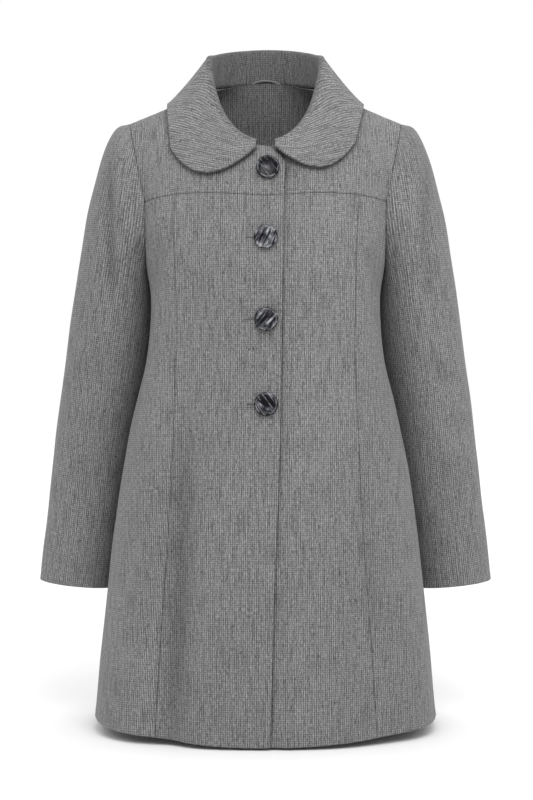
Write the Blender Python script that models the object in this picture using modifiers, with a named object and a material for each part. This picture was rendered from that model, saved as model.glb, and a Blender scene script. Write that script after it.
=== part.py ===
"""Overcoat: a hollow A-line wool coat with a round collar, front yokes and four buttons.

The coat is upright and filled out as when worn, front towards -Y, metres, +Z up.
The origin is the middle of the neck at the height of the back neck seam.
"right" and "left" are the wearer's: the right side of the coat is at -X.
"""

import math
from functools import lru_cache

import bmesh
import bpy
import numpy as np
from mathutils import Vector

# Cloth and seams
CLOTH = 0.0024
COLLAR_CLOTH = 0.0030
FACING_CLOTH = 0.0012
SEAM_GAP = 0.0003
SLEEVE_GAP = 0.0004
LAYER_GAP = 0.0012

# Body: sections from the hem up, each a rounded oval
SECTION_COLUMNS = ("z", "half_width", "front_y", "back_y", "side_y")
SECTIONS = (
    (-0.880, 0.2270, -0.180, 0.172, -0.020),
    (-0.850, 0.2240, -0.177, 0.169, -0.020),
    (-0.764, 0.2160, -0.168, 0.160, -0.020),
    (-0.684, 0.2080, -0.159, 0.151, -0.020),
    (-0.600, 0.1985, -0.149, 0.141, -0.020),
    (-0.506, 0.1845, -0.136, 0.128, -0.020),
    (-0.440, 0.1710, -0.126, 0.117, -0.020),
    (-0.380, 0.1570, -0.118, 0.108, -0.019),
    (-0.335, 0.1515, -0.118, 0.104, -0.016),
    (-0.300, 0.1510, -0.121, 0.104, -0.012),
    (-0.258, 0.1570, -0.123, 0.106, -0.006),
    (-0.215, 0.1640, -0.119, 0.107, -0.003),
    (-0.174, 0.1680, -0.111, 0.105, 0.000),
    (-0.140, 0.1700, -0.103, 0.101, 0.002),
)
OVAL_POWER = 2.3
QUARTER_LENGTH = 0.2
HEM_FRONT_Z = -0.856
HEM_SIDE_Z = -0.842
HEM_BACK_Z = -0.846

# Soft folds of the skirt, deepest at the hem: girth is 0 centre front, 1 side seam, 2 centre back
FOLD_COLUMNS = ("side", "girth", "half_span", "depth", "start_z")
FOLDS = (
    (-1, 0.42, 0.10, -0.0085, -0.42),
    (-1, 0.68, 0.13, 0.0045, -0.46),
    (1, 0.50, 0.11, -0.0045, -0.48),
    (1, 0.74, 0.12, 0.0035, -0.50),
    (-1, 1.45, 0.13, -0.0070, -0.48),
    (1, 1.50, 0.13, -0.0060, -0.50),
    (-1, 1.75, 0.12, 0.0040, -0.52),
    (1, 1.80, 0.12, 0.0040, -0.50),
)
FOLD_FADE = 1.5

# Seams of the front, by height or by distance from the centre front
PRINCESS_COLUMNS = ("z", "x")
PRINCESS = (
    (-0.870, 0.1430),
    (-0.740, 0.1340),
    (-0.620, 0.1250),
    (-0.520, 0.1190),
    (-0.410, 0.1150),
    (-0.340, 0.1140),
    (-0.265, 0.1155),
    (-0.160, 0.1190),
)
YOKE_COLUMNS = ("x", "z")
YOKE = (
    (0.000, -0.1735),
    (0.030, -0.1715),
    (0.070, -0.1690),
    (0.119, -0.1695),
    (0.157, -0.1740),
)
EDGE_COLUMNS = ("z", "x")
FRONT_EDGE = (
    (-0.870, 0.0055),
    (-0.768, 0.0080),
    (-0.675, 0.0106),
    (-0.580, 0.0145),
    (-0.458, 0.0188),
    (-0.305, 0.0209),
    (-0.100, 0.0250),
)
OVERLAP = 0.044
TUCK_NEAR = 0.002
TUCK_FAR = 0.024
TAB_CORNER = 0.020
TAB_DROP = 0.030
TAB_POWER = 1.5

# Neck, shoulders and armholes
NECK_HALF_WIDTH = 0.072
NECK_FRONT_Y = -0.080
NECK_BACK_Y = 0.072
NECK_FRONT_Z = -0.1055
NECK_SIDE_Z = -0.018
NECK_BACK_Z = 0.0
NECK_DIP = 1.3
TIP = Vector((0.180, 0.005, -0.0645))
FRONT_CORNER_X = 0.157
BACK_CORNER_X = 0.160
BACK_LINE_Z = -0.174
UNDERARM_Z = -0.258
CORNER_RIB = 0.6
RIB_REACH = 0.5

# Sleeve rings from the armhole to the cuff: outer and inner point, depth and place front to back
SLEEVE_COLUMNS = ("outer_x", "outer_z", "inner_x", "inner_z", "y", "half_depth")
SLEEVE = (
    (0.1800, -0.0645, 0.1570, -0.2580, 0.004, 0.0570),
    (0.1965, -0.0690, 0.1578, -0.2625, 0.006, 0.0605),
    (0.2090, -0.0860, 0.1568, -0.2680, 0.010, 0.0625),
    (0.2210, -0.1150, 0.1550, -0.2760, 0.015, 0.0635),
    (0.2310, -0.1500, 0.1515, -0.2880, 0.021, 0.0635),
    (0.2410, -0.1920, 0.1500, -0.3060, 0.027, 0.0625),
    (0.2505, -0.2450, 0.1500, -0.3320, 0.033, 0.0610),
    (0.2605, -0.3060, 0.1515, -0.3660, 0.037, 0.0590),
    (0.2700, -0.3780, 0.1590, -0.4120, 0.039, 0.0570),
    (0.2790, -0.4430, 0.1700, -0.4650, 0.040, 0.0550),
    (0.2870, -0.5120, 0.1810, -0.5260, 0.040, 0.0530),
    (0.2945, -0.5820, 0.1915, -0.5930, 0.040, 0.0510),
    (0.3045, -0.6730, 0.2040, -0.6840, 0.038, 0.0490),
)
ARMHOLE_FADE_RINGS = 5
SLEEVE_QUARTER = 0.08

# Seams of the two-piece sleeve, in quarter turns from the shoulder tip by way of the front
FRONT_SEAM_TURN = 1.35
BACK_SEAM_TURN = 2.80

# Collar: along the neck, 0 centre front, 1 shoulder, 2 centre back
COLLAR_COLUMNS = ("place", "stand", "fall")
COLLAR = (
    (0.09, 0.0045, 0.010),
    (0.15, 0.0050, 0.029),
    (0.22, 0.0055, 0.050),
    (0.30, 0.0060, 0.065),
    (0.45, 0.0085, 0.074),
    (0.60, 0.0140, 0.073),
    (0.80, 0.0280, 0.064),
    (1.00, 0.0410, 0.062),
    (1.30, 0.0445, 0.069),
    (1.60, 0.0470, 0.076),
    (2.00, 0.0480, 0.079),
)
COLLAR_ROLL = 0.0030
COLLAR_BOW = 1.2
COLLAR_CLEAR = 0.0028
COLLAR_FOOT = 0.00078
RIGHT_POINT_LONGER = 1.09
LEFT_POINT_LONGER = 0.95
POINT_SPAN = 0.5

# Back neck facing and hanger loop
FACING_MIDDLE = 0.095
FACING_SHOULDER = 0.055
FACING_CLEAR = 0.0014
FACING_END_RIB = 0.97
LOOP_HALF_LENGTH = 0.019
LOOP_RISE = 0.005
LOOP_RADIUS = 0.0014
LOOP_CLEAR = 0.0016

# Buttons, down the centre front
BUTTON_COLUMNS = ("x", "z")
BUTTONS = (
    (0.0030, -0.1390),
    (0.0003, -0.2275),
    (0.0008, -0.3300),
    (0.0008, -0.4370),
)
BUTTON_RADIUS = 0.0150
BUTTON_RIM = 0.0042
BUTTON_DISH = 0.0028
BUTTON_EDGE = 0.0010
DISH_RADIUS = BUTTON_RADIUS * 0.62
RIM_INSIDE = BUTTON_RADIUS * 0.80
RIM_OUTSIDE = BUTTON_RADIUS * 0.92
UNDER_RADIUS = BUTTON_RADIUS * 0.88
SHANK_RADIUS = 0.0032
SHANK_LENGTH = 0.0022

# How finely the cloth is divided
HEIGHT_STEPS = 20
EDGE_STEPS = 3
CENTRE_SHARES = (0.0, 0.2, 0.4, 0.6, 0.8, 0.95, 1.0)
SIDE_SHARES = (0.0, 0.12, 0.55, 1.0)
BACK_STEPS = 6
ARMHOLE_STEPS = 6
TOP_SLEEVE_STEPS = 16
UNDER_SLEEVE_STEPS = 9
RIB_STEPS = 6
STAND_STEPS = 2
ROLL_STEPS = 4
FALL_STEPS = 6
FRONT_COLLAR_STEPS = 11
BACK_COLLAR_STEPS = 6
FACING_STEPS = 5
LOOP_STEPS = 14
BUTTON_SIDES = 20
QUARTER_TURN = np.linspace(0.0, math.pi / 2, 49)
SMALL = 0.0005
RIB_STEP = 0.01
RIB_START = 0.1
TURN_STEP = 0.02

# Colours
WOOL_GREY = (0.235, 0.235, 0.240, 1.0)
FACING_GREY = (0.170, 0.170, 0.175, 1.0)
LOOP_GREY = (0.150, 0.150, 0.160, 1.0)
BUTTON_INK = (0.030, 0.032, 0.045, 1.0)


def columns(names, rows):
    """A table's columns by name."""
    return dict(zip(names, np.array(rows, float).T))


SECTION = columns(SECTION_COLUMNS, SECTIONS)
PRINCESS_LINE = columns(PRINCESS_COLUMNS, PRINCESS)
YOKE_LINE = columns(YOKE_COLUMNS, YOKE)
EDGE_LINE = columns(EDGE_COLUMNS, FRONT_EDGE)
SLEEVE_RINGS = columns(SLEEVE_COLUMNS, SLEEVE)
COLLAR_LINE = columns(COLLAR_COLUMNS, COLLAR)


def spline(knots, values, at):
    """A smooth curve through the values at the knots."""
    slopes = np.gradient(values, knots)
    at = np.clip(at, knots[0], knots[-1])
    i = np.clip(np.searchsorted(knots, at) - 1, 0, len(knots) - 2)
    step = knots[i + 1] - knots[i]
    t = (at - knots[i]) / step
    start = values[i] * (1 + 2 * t) * (1 - t) ** 2 + slopes[i] * step * t * (1 - t) ** 2
    return start + values[i + 1] * t * t * (3 - 2 * t) + slopes[i + 1] * step * t * t * (t - 1)


def ease(t):
    """0 to 1 with flat ends."""
    t = min(1.0, max(0.0, t))
    return t * t * (3 - 2 * t)


@lru_cache(maxsize=None)
def section(z):
    """The body's section at height z, as a dict of its sizes."""
    return {name: float(spline(SECTION["z"], SECTION[name], z)) for name in SECTION_COLUMNS}


@lru_cache(maxsize=None)
def quarter(z, back):
    """A quarter of the section at height z, centre to side seam: x, y and share of its length."""
    s = section(z)
    reach = s["back_y"] - s["side_y"] if back else s["front_y"] - s["side_y"]
    x = s["half_width"] * np.sin(QUARTER_TURN) ** (2 / OVAL_POWER)
    y = s["side_y"] + reach * np.clip(np.cos(QUARTER_TURN), 0, 1) ** (2 / OVAL_POWER)
    length = np.concatenate(([0.0], np.cumsum(np.hypot(np.diff(x), np.diff(y)))))
    return x, y, length / length[-1]


@lru_cache(maxsize=None)
def girth_at_x(x, z, back=False):
    """Share of the quarter's length, from its centre, where it is x from the middle."""
    xs, _, share = quarter(z, back)
    return float(np.interp(x, xs, share))


def fold_height(side, girth, z):
    """How far the skirt's soft folds move a point out, or in where negative."""
    total = 0.0
    for row in FOLDS:
        fold = dict(zip(FOLD_COLUMNS, row))
        if fold["side"] == side and z < fold["start_z"]:
            fade = ((fold["start_z"] - z) / (fold["start_z"] - HEM_FRONT_Z)) ** FOLD_FADE
            total += fold["depth"] * fade * math.exp(-(((girth - fold["girth"]) / fold["half_span"]) ** 2))
    return total


def body_point(side, girth, z):
    """A point on the outside of the body: girth 0 centre front, 1 side seam, 2 centre back.

    A girth below 0 or above 2 is past the middle, on the other side.
    """
    if girth < 0:
        side, girth = -side, -girth
    if girth > 2:
        side, girth = -side, 4 - girth
    back = girth > 1
    xs, ys, share = quarter(z, back)
    along = 2 - girth if back else girth
    x, y = np.interp(along, share, xs), np.interp(along, share, ys)
    out = Vector((x, y - section(z)["side_y"], 0)).normalized()
    point = Vector((x, y, z)) + out * fold_height(side, girth, z)
    point.x *= side
    return point


def body_normal(side, girth, z):
    """The way out of the body's surface."""
    along = body_point(side, girth + SMALL, z) - body_point(side, girth - SMALL, z)
    up = body_point(side, girth, z + SMALL) - body_point(side, girth, z - SMALL)
    return along.cross(up).normalized() * side


@lru_cache(maxsize=None)
def edge_x(z):
    """The right front's edge, past the centre front."""
    return float(spline(EDGE_LINE["z"], EDGE_LINE["x"], z))


@lru_cache(maxsize=None)
def princess_girth(z):
    """The seam between centre and side front."""
    return girth_at_x(float(spline(PRINCESS_LINE["z"], PRINCESS_LINE["x"], z)), z)


@lru_cache(maxsize=None)
def yoke_z(x):
    """Height of the yoke seam at a distance from the centre front."""
    return float(spline(YOKE_LINE["x"], YOKE_LINE["z"], abs(x)))


def hem_z(girth):
    """Height of the hem, level at the back and dipping a little at the front."""
    girth = abs(girth)
    share = ease(abs(1 - girth))
    return HEM_SIDE_Z + (HEM_BACK_Z - HEM_SIDE_Z if girth > 1 else HEM_FRONT_Z - HEM_SIDE_Z) * share


FRONT_CORNER = girth_at_x(FRONT_CORNER_X, yoke_z(FRONT_CORNER_X))
BACK_CORNER = girth_at_x(BACK_CORNER_X, BACK_LINE_Z, back=True)


def neck_point(rib, back):
    """The neckline, from the centre (rib 0) to the shoulder (rib 1)."""
    turn = rib * math.pi / 2
    middle_y, middle_z = (NECK_BACK_Y, NECK_BACK_Z) if back else (NECK_FRONT_Y, NECK_FRONT_Z)
    cos = max(0.0, math.cos(turn))
    z = NECK_SIDE_Z + (middle_z - NECK_SIDE_Z) * cos**NECK_DIP
    return Vector((NECK_HALF_WIDTH * math.sin(turn), middle_y * cos, z))


@lru_cache(maxsize=None)
def line_point(share, back):
    """The yoke seam, or the line across the back, from the centre to the armhole's corner."""
    if back:
        return body_point(1, 2 - BACK_CORNER * share, BACK_LINE_Z)
    x = FRONT_CORNER_X * share
    for _ in range(3):
        girth = FRONT_CORNER * share
        x = body_point(1, girth, yoke_z(x)).x
    return body_point(1, girth, yoke_z(x))


def bezier(a, b, c, t):
    """A quadratic curve from a to c, drawn towards b."""
    return a * (1 - t) ** 2 + b * (2 * t * (1 - t)) + c * t**2


def armhole_top(t, back):
    """The upper half of the armhole, from its corner (0) to the shoulder's tip (1)."""
    corner = line_point(1, back)
    return bezier(corner, Vector((TIP.x, corner.y, TIP.z)), TIP, t)


def armhole_low(turn, back):
    """The lower half of the armhole, from its corner (0) to the underarm (quarter turn)."""
    corner = BACK_CORNER if back else FRONT_CORNER
    top = BACK_LINE_Z if back else yoke_z(FRONT_CORNER_X)
    girth = 1 - (1 - corner) * math.cos(turn)
    z = top - (top - UNDERARM_Z) * math.sin(turn)
    return body_point(1, 2 - girth if back else girth, z)


def outer_point(rib, back):
    """Where a rib ends: on the yoke seam or back line, then up the armhole to the shoulder."""
    if rib <= CORNER_RIB:
        return line_point(rib / CORNER_RIB, back)
    return armhole_top((rib - CORNER_RIB) / (1 - CORNER_RIB), back)


@lru_cache(maxsize=None)
def line_control(share, back):
    """A rib's control point, so that it leaves the body below without a break."""
    end = line_point(share, back)
    neck = neck_point(share * CORNER_RIB, back)
    girth = 2 - BACK_CORNER * share if back else FRONT_CORNER * share
    normal = body_normal(1, girth, end.z)
    way = neck - end
    flat = (way - normal * way.dot(normal)).normalized()
    return end + flat * way.length * RIB_REACH


def rib_point(rib, back, t):
    """Upper body: a rib from the neckline (t 0) to the yoke seam, back line or armhole (t 1)."""
    neck, end = neck_point(rib, back), outer_point(rib, back)
    if rib <= CORNER_RIB:
        control = line_control(rib / CORNER_RIB, back)
    else:
        shoulder = (neck_point(1, back) + TIP) / 2
        turn = ease((rib - CORNER_RIB) / (1 - CORNER_RIB))
        control = line_control(1, back).lerp(shoulder, turn)
    return bezier(neck, control, end, t)


def rib_slope(rib, back, t):
    """The way out of the upper body's surface, from its own side of the shoulder only."""
    low, high = max(0.0, rib - RIB_STEP), min(1.0, rib + RIB_STEP)
    across = rib_point(high, back, t) - rib_point(low, back, t)
    low, high = max(0.0, t - RIB_STEP), min(1.0, t + RIB_STEP)
    down = rib_point(rib, back, high) - rib_point(rib, back, low)
    return (across.cross(down) if back else down.cross(across)).normalized()


def rib_normal(rib, back, t):
    """The way out of the upper body's surface, shared by the pieces that meet at a seam."""
    if t > 1 - SMALL and rib <= CORNER_RIB:
        end = outer_point(rib, back)
        share = rib / CORNER_RIB
        return body_normal(1, 2 - BACK_CORNER * share if back else FRONT_CORNER * share, end.z)
    normal = rib_slope(rib, back, t)
    if rib > 1 - RIB_STEP:
        normal += rib_slope(rib, not back, t)
    if rib < RIB_STEP:
        normal.x = 0.0
    return normal.normalized()


@lru_cache(maxsize=None)
def rib_share(rib, back, distance):
    """The rib's own measure, 0 to 1, at a distance from the neckline along it."""
    shares = np.linspace(0, 1, 21)
    points = [rib_point(rib, back, t) for t in shares]
    lengths = np.cumsum([0.0] + [(b - a).length for a, b in zip(points, points[1:])])
    return float(np.interp(distance, lengths, shares))


def tuck(point):
    """How far the left front is moved in where the right front lies over it."""
    edge = edge_x(point.z)
    open_share = ease((point.x - edge - TUCK_NEAR) / (TUCK_FAR - TUCK_NEAR))
    return Vector((0, (CLOTH + LAYER_GAP) * (1 - open_share), 0))


def material(name, colour, roughness):
    """A plain finish."""
    made = bpy.data.materials.new(name)
    made.use_nodes = True
    shader = made.node_tree.nodes["Principled BSDF"]
    shader.inputs["Base Color"].default_value = colour
    shader.inputs["Roughness"].default_value = roughness
    shader.inputs["Metallic"].default_value = 0.0
    return made


def add_grid(bm, across, up, place, flip=False):
    """A grid with a place for each pair of values; flip turns its faces over.

    A place is a point, or a point on the outside of the cloth and one on its inside.
    """
    inside = bm.verts.layers.float_vector.get("inside")
    made = bmesh.ops.create_grid(bm, x_segments=len(across) - 1, y_segments=len(up) - 1, size=0.5)
    for vert in made["verts"]:
        column = round((vert.co.x + 0.5) * (len(across) - 1))
        row = round((vert.co.y + 0.5) * (len(up) - 1))
        found = place(across[-1 - column] if flip else across[column], up[row])
        if inside is None:
            vert.co = found
        else:
            vert.co, vert[inside] = found


def link_mesh(name, bm, finish):
    """The finished mesh as an object of the coat."""
    mesh = bpy.data.meshes.new(name)
    bm.to_mesh(mesh)
    bm.free()
    mesh.shade_smooth()
    mesh.materials.append(finish)
    made = bpy.data.objects.new(name, mesh)
    COAT.objects.link(made)
    return made


def panel(name, fill, finish):
    """A panel of the coat: its outside, extruded to its inside so that seams stay parallel."""
    bm = bmesh.new()
    inside = bm.verts.layers.float_vector.new("inside")
    fill(bm)
    bmesh.ops.remove_doubles(bm, verts=bm.verts, dist=1e-6)
    made = bmesh.ops.extrude_face_region(bm, geom=bm.faces[:], use_keep_orig=True)
    for vert in made["geom"]:
        if isinstance(vert, bmesh.types.BMVert):
            vert.co = vert[inside]
    bmesh.ops.recalc_face_normals(bm, faces=bm.faces)
    return link_mesh(name, bm, finish)


def layer(name, fill, thickness, finish, offset):
    """A layer that lies on the coat: an open surface, thickened to a wall."""
    bm = bmesh.new()
    fill(bm)
    made = link_mesh(name, bm, finish)
    wall = made.modifiers.new("wall", "SOLIDIFY")
    wall.thickness = thickness
    wall.offset = offset
    return made


def steps(count, start=0.0, end=1.0):
    """Evenly spaced values, ends included."""
    return [start + (end - start) * k / count for k in range(count + 1)]


def front_columns():
    """Columns of a front half from its edge to the side seam: (zone, share of the zone)."""
    edge = [("edge", share) for share in steps(EDGE_STEPS, 1, 0)[:-1]]
    centre = [("centre", share) for share in CENTRE_SHARES]
    side = [("side", share) for share in SIDE_SHARES]
    low = [("armhole", share) for share in steps(ARMHOLE_STEPS)[1:]]
    return edge + centre, side + low


def front_girth(side, zone, share, z):
    """Girth of a front column at height z."""
    if zone == "edge":
        reach = edge_x(z) if side < 0 else OVERLAP - edge_x(z)
        return -girth_at_x(reach, z) * share
    seam = princess_girth(z)
    gap = SEAM_GAP / 2 / QUARTER_LENGTH
    if zone == "centre":
        return (seam - gap) * share
    corner = (FRONT_CORNER - PRINCESS_TOP) / (1 - PRINCESS_TOP)
    along = corner * share if zone == "side" else 1 - (1 - corner) * math.cos(share * math.pi / 2)
    return seam + gap + (1 - seam - 2 * gap) * along


def front_top(side, zone, share):
    """Height of a front column's top, on the yoke seam or the armhole."""
    if zone == "armhole":
        top = yoke_z(FRONT_CORNER_X)
        return top - SEAM_GAP / 2 - (top - UNDERARM_Z) * math.sin(share * math.pi / 2)
    z = yoke_z(0)
    for _ in range(3):
        z = yoke_z(body_point(side, front_girth(side, zone, share, z), z).x)
    return z - SEAM_GAP / 2


def front_point(side, column, height):
    """A point of a front panel below the yoke; height 0 is the hem and 1 the top."""
    zone, share = column
    top = front_top(side, zone, share)
    low = hem_z(front_girth(side, zone, share, HEM_FRONT_Z))
    z = low + (top - low) * height
    girth = front_girth(side, zone, share, z)
    point = body_point(side, girth, z)
    inner = point - body_normal(side, girth, z) * CLOTH
    move = tuck(point) if side > 0 else Vector()
    return point + move, inner + move


PRINCESS_TOP = princess_girth(yoke_z(float(PRINCESS_LINE["x"][-1])))


def front_panels(side, word, finish):
    """Centre and side front of one half, below the yoke."""
    centre, outer = front_columns()
    for name, wanted in (("front_centre", centre), ("front_side", outer)):
        panel(
            f"{name}_{word}",
            lambda bm, wanted=wanted: add_grid(
                bm, wanted, steps(HEIGHT_STEPS), lambda c, h: front_point(side, c, h), flip=side < 0
            ),
            finish,
        )


def worn(side, point, normal, move):
    """A point of the upper body and the inside of the cloth there, on the side asked for."""
    places = (point, point - normal * CLOTH)
    return tuple(Vector((p.x * side, p.y, p.z)) + move for p in places)


def yoke_ribs():
    """A yoke's columns: the front edge, the ribs over the panels' columns, then up the armhole."""
    edge = [("edge", share) for share in steps(EDGE_STEPS, 1, 0)[:-1]]
    centre = [PRINCESS_TOP * share / FRONT_CORNER * CORNER_RIB for share in CENTRE_SHARES]
    side = [
        (PRINCESS_TOP + (FRONT_CORNER - PRINCESS_TOP) * share) / FRONT_CORNER * CORNER_RIB
        for share in SIDE_SHARES[1:]
    ]
    arm = [CORNER_RIB + (1 - CORNER_RIB) * share for share in steps(ARMHOLE_STEPS)[1:]]
    return edge + [("rib", rib) for rib in centre + side + arm]


def yoke_point(side, column, down):
    """A point of a front yoke; down is 0 at the neck and shoulder, 1 at the yoke seam."""
    zone, share = column
    if zone == "rib":
        point = rib_point(share, False, down)
        normal = rib_normal(share, False, down)
    else:
        reach = edge_x(NECK_FRONT_Z) if side < 0 else OVERLAP - edge_x(NECK_FRONT_Z)
        if side < 0:
            drop = TAB_DROP * (1 - (1 - share**TAB_POWER) ** (1 / TAB_POWER))
        else:
            past = max(0.0, reach * share - (reach - TAB_CORNER))
            drop = TAB_CORNER - math.sqrt(TAB_CORNER**2 - past**2)
        start = rib_share(0, False, drop)
        point = rib_point(0, False, start + (1 - start) * down)
        low = yoke_z(0)
        seam = body_point(1, front_girth(side, zone, share, low), low)
        point.x = -reach * share + (seam.x + reach * share) * down
        point.y += (seam.y - body_point(1, 0, low).y) * down
        point.z += (yoke_z(seam.x) - low) * down
        normal = rib_normal(0, False, down)
    lift = SEAM_GAP / 2 * ease((down - 0.5) * 2)
    point.z += lift
    if zone == "rib" and share == 1:
        point.y -= SEAM_GAP / 2
    return worn(side, point, normal, tuck(point) if side > 0 else Vector())


def front_yoke(side, word, finish):
    """The yoke across one half of the upper front, from the neck to the armhole."""
    panel(
        f"front_yoke_{word}",
        lambda bm: add_grid(
            bm, yoke_ribs(), steps(RIB_STEPS, 1, 0), lambda c, d: yoke_point(side, c, d), flip=side < 0
        ),
        finish,
    )


def back_columns(side):
    """Columns of one half of the back, from the right to the left: (side, zone, share of the zone)."""
    half = [("middle", share) for share in steps(BACK_STEPS)]
    half += [("armhole", share) for share in steps(ARMHOLE_STEPS)[1:]]
    return [(side, *c) for c in (reversed(half) if side < 0 else half)]


def back_move(column):
    """Half the gap of the centre back seam, for the column that lies on it."""
    side, zone, share = column
    on_seam = zone == "middle" and share == 0
    return Vector((side * SEAM_GAP / 2, 0, 0)) if on_seam else Vector()


def back_low(column, height):
    """A point of the back below the line across it."""
    side, zone, share = column
    gap = SEAM_GAP / QUARTER_LENGTH
    if zone == "middle":
        along, top = BACK_CORNER * share, BACK_LINE_Z
    else:
        turn = share * math.pi / 2
        along = 1 - (1 - BACK_CORNER) * math.cos(turn)
        top = BACK_LINE_Z - (BACK_LINE_Z - UNDERARM_Z) * math.sin(turn)
    girth = 2 - along * (1 - gap * share if zone == "armhole" else 1)
    low = hem_z(girth)
    z = low + (top - low) * height
    point = body_point(side, girth, z) + back_move(column)
    return point, point - body_normal(side, girth, z) * CLOTH


def back_high(column, down):
    """A point of the back above that line, on a rib from the neck."""
    side, zone, share = column
    rib = CORNER_RIB * share if zone == "middle" else CORNER_RIB + (1 - CORNER_RIB) * share
    point = rib_point(rib, True, down)
    if rib == 1:
        point.y += SEAM_GAP / 2
    return worn(side, point, rib_normal(rib, True, down), back_move(column))


def back_panel(side, word, finish):
    """One half of the back, in one piece from the shoulder to the hem."""

    def fill(bm):
        add_grid(bm, back_columns(side), steps(HEIGHT_STEPS), back_low, flip=True)
        add_grid(bm, back_columns(side), steps(RIB_STEPS, 1, 0), back_high, flip=True)

    panel(f"back_{word}", fill, finish)


def armhole_point(turn):
    """The whole armhole: 0 shoulder tip, then front, underarm and back, in quarters of 1."""
    quarter_number, share = divmod(turn % 4, 1)
    if quarter_number == 0:
        return armhole_top(1 - share, False)
    if quarter_number == 1:
        return armhole_low(share * math.pi / 2, False)
    if quarter_number == 2:
        return armhole_low((1 - share) * math.pi / 2, True)
    return armhole_top(share, True)


def sleeve_ring(ring, turn):
    """A point of the sleeve's plain oval ring."""
    row = {name: float(SLEEVE_RINGS[name][ring]) for name in SLEEVE_COLUMNS}
    outer = Vector((row["outer_x"], row["y"], row["outer_z"]))
    inner = Vector((row["inner_x"], row["y"], row["inner_z"]))
    angle = turn * math.pi / 2
    middle, reach = (outer + inner) / 2, (outer - inner) / 2
    return middle + reach * math.cos(angle) - Vector((0, row["half_depth"] * math.sin(angle), 0))


def sleeve_outside(ring, turn):
    """A point on the outside of the left sleeve: from the armhole's line into plain ovals."""
    fade = 1 - ease(ring / ARMHOLE_FADE_RINGS)
    point = sleeve_ring(ring, turn) + (armhole_point(turn) - sleeve_ring(0, turn)) * fade
    point.x += SLEEVE_GAP
    return point


def sleeve_point(side, ring, turn):
    """A point of a sleeve and the inside of the cloth there."""
    last = len(SLEEVE) - 1
    across = sleeve_outside(ring, turn + TURN_STEP) - sleeve_outside(ring, turn - TURN_STEP)
    down = sleeve_outside(min(last, ring + 1), turn) - sleeve_outside(max(0, ring - 1), turn)
    return worn(side, sleeve_outside(ring, turn), across.cross(down).normalized(), Vector())


def sleeve(side, word, finish):
    """A two-piece sleeve from armhole to cuff: the wide top sleeve and the under sleeve."""
    rings = list(range(len(SLEEVE)))
    gap = SEAM_GAP / 2 / SLEEVE_QUARTER
    top = steps(TOP_SLEEVE_STEPS, BACK_SEAM_TURN - 4 + gap, FRONT_SEAM_TURN - gap)
    under = steps(UNDER_SLEEVE_STEPS, FRONT_SEAM_TURN + gap, BACK_SEAM_TURN - gap)
    for name, turns in (("sleeve_top", top), ("sleeve_under", under)):
        panel(
            f"{name}_{word}",
            lambda bm, turns=turns: add_grid(
                bm, turns, rings, lambda t, r: sleeve_point(side, r, t), flip=side < 0
            ),
            finish,
        )


def collar_section(side, place):
    """The collar across its width at one place: stand, roll, then the fall over the shoulders."""
    back = place > 1
    rib = 2 - place if back else place
    stand = float(spline(COLLAR_LINE["place"], COLLAR_LINE["stand"], place))
    fall = float(spline(COLLAR_LINE["place"], COLLAR_LINE["fall"], place))
    longer = RIGHT_POINT_LONGER if side < 0 else LEFT_POINT_LONGER
    fall *= 1 + (longer - 1) * ease((1 - place) / POINT_SPAN)
    neck = neck_point(rib, back)
    out = rib_point(rib, back, RIB_START) - neck
    out = Vector((out.x, out.y, 0)).normalized()
    foot = neck + Vector((0, 0, COLLAR_FOOT))
    straight = max(0.0, stand - COLLAR_ROLL)
    points = [foot + Vector((0, 0, straight * share)) for share in steps(STAND_STEPS)]
    top = points[-1]
    for share in steps(ROLL_STEPS)[1:]:
        turn = share * math.pi
        lift = Vector((0, 0, COLLAR_ROLL * math.sin(turn)))
        points.append(top + out * (COLLAR_ROLL * (1 - math.cos(turn))) + lift)
    start = points[-1] - neck
    for share in steps(FALL_STEPS)[1:]:
        t = rib_share(rib, back, fall * share)
        lift = rib_normal(rib, back, t) * (COLLAR_CLEAR * share)
        points.append(rib_point(rib, back, t) + start * (1 - share) ** COLLAR_BOW + lift)
    return [Vector((p.x * side, p.y, p.z)) for p in points]


def collar(finish):
    """The round collar, in one piece from one front point to the other."""
    front = steps(FRONT_COLLAR_STEPS, COLLAR[0][0], 1)
    places = front + steps(BACK_COLLAR_STEPS, 1, 2)[1:]
    sections = [collar_section(-1, place) for place in places]
    sections += [collar_section(1, place) for place in reversed(places[:-1])]
    rows = list(range(len(sections[0])))
    layer(
        "collar",
        lambda bm: add_grid(bm, list(range(len(sections))), rows, lambda c, r: sections[c][r], flip=True),
        COLLAR_CLOTH,
        finish,
        offset=0.0,
    )


def back_neck_facing(finish):
    """The strip of coat cloth that faces the inside of the back neck."""

    def point(column, share):
        side, zone, part = column
        rib = CORNER_RIB * part if zone == "middle" else CORNER_RIB + (1 - CORNER_RIB) * part
        rib = min(rib, FACING_END_RIB)
        depth = FACING_SHOULDER + (FACING_MIDDLE - FACING_SHOULDER) * math.cos(rib * math.pi / 2) ** 2
        t = rib_share(rib, True, depth * share)
        made = rib_point(rib, True, t) - rib_normal(rib, True, t) * (CLOTH + FACING_CLEAR)
        made.x *= side
        return made

    across = back_columns(-1)[:-1] + back_columns(1)
    layer(
        "back_neck_facing",
        lambda bm: add_grid(bm, across, steps(FACING_STEPS, 1, 0), point, flip=True),
        FACING_CLOTH,
        finish,
        offset=-1.0,
    )


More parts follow.
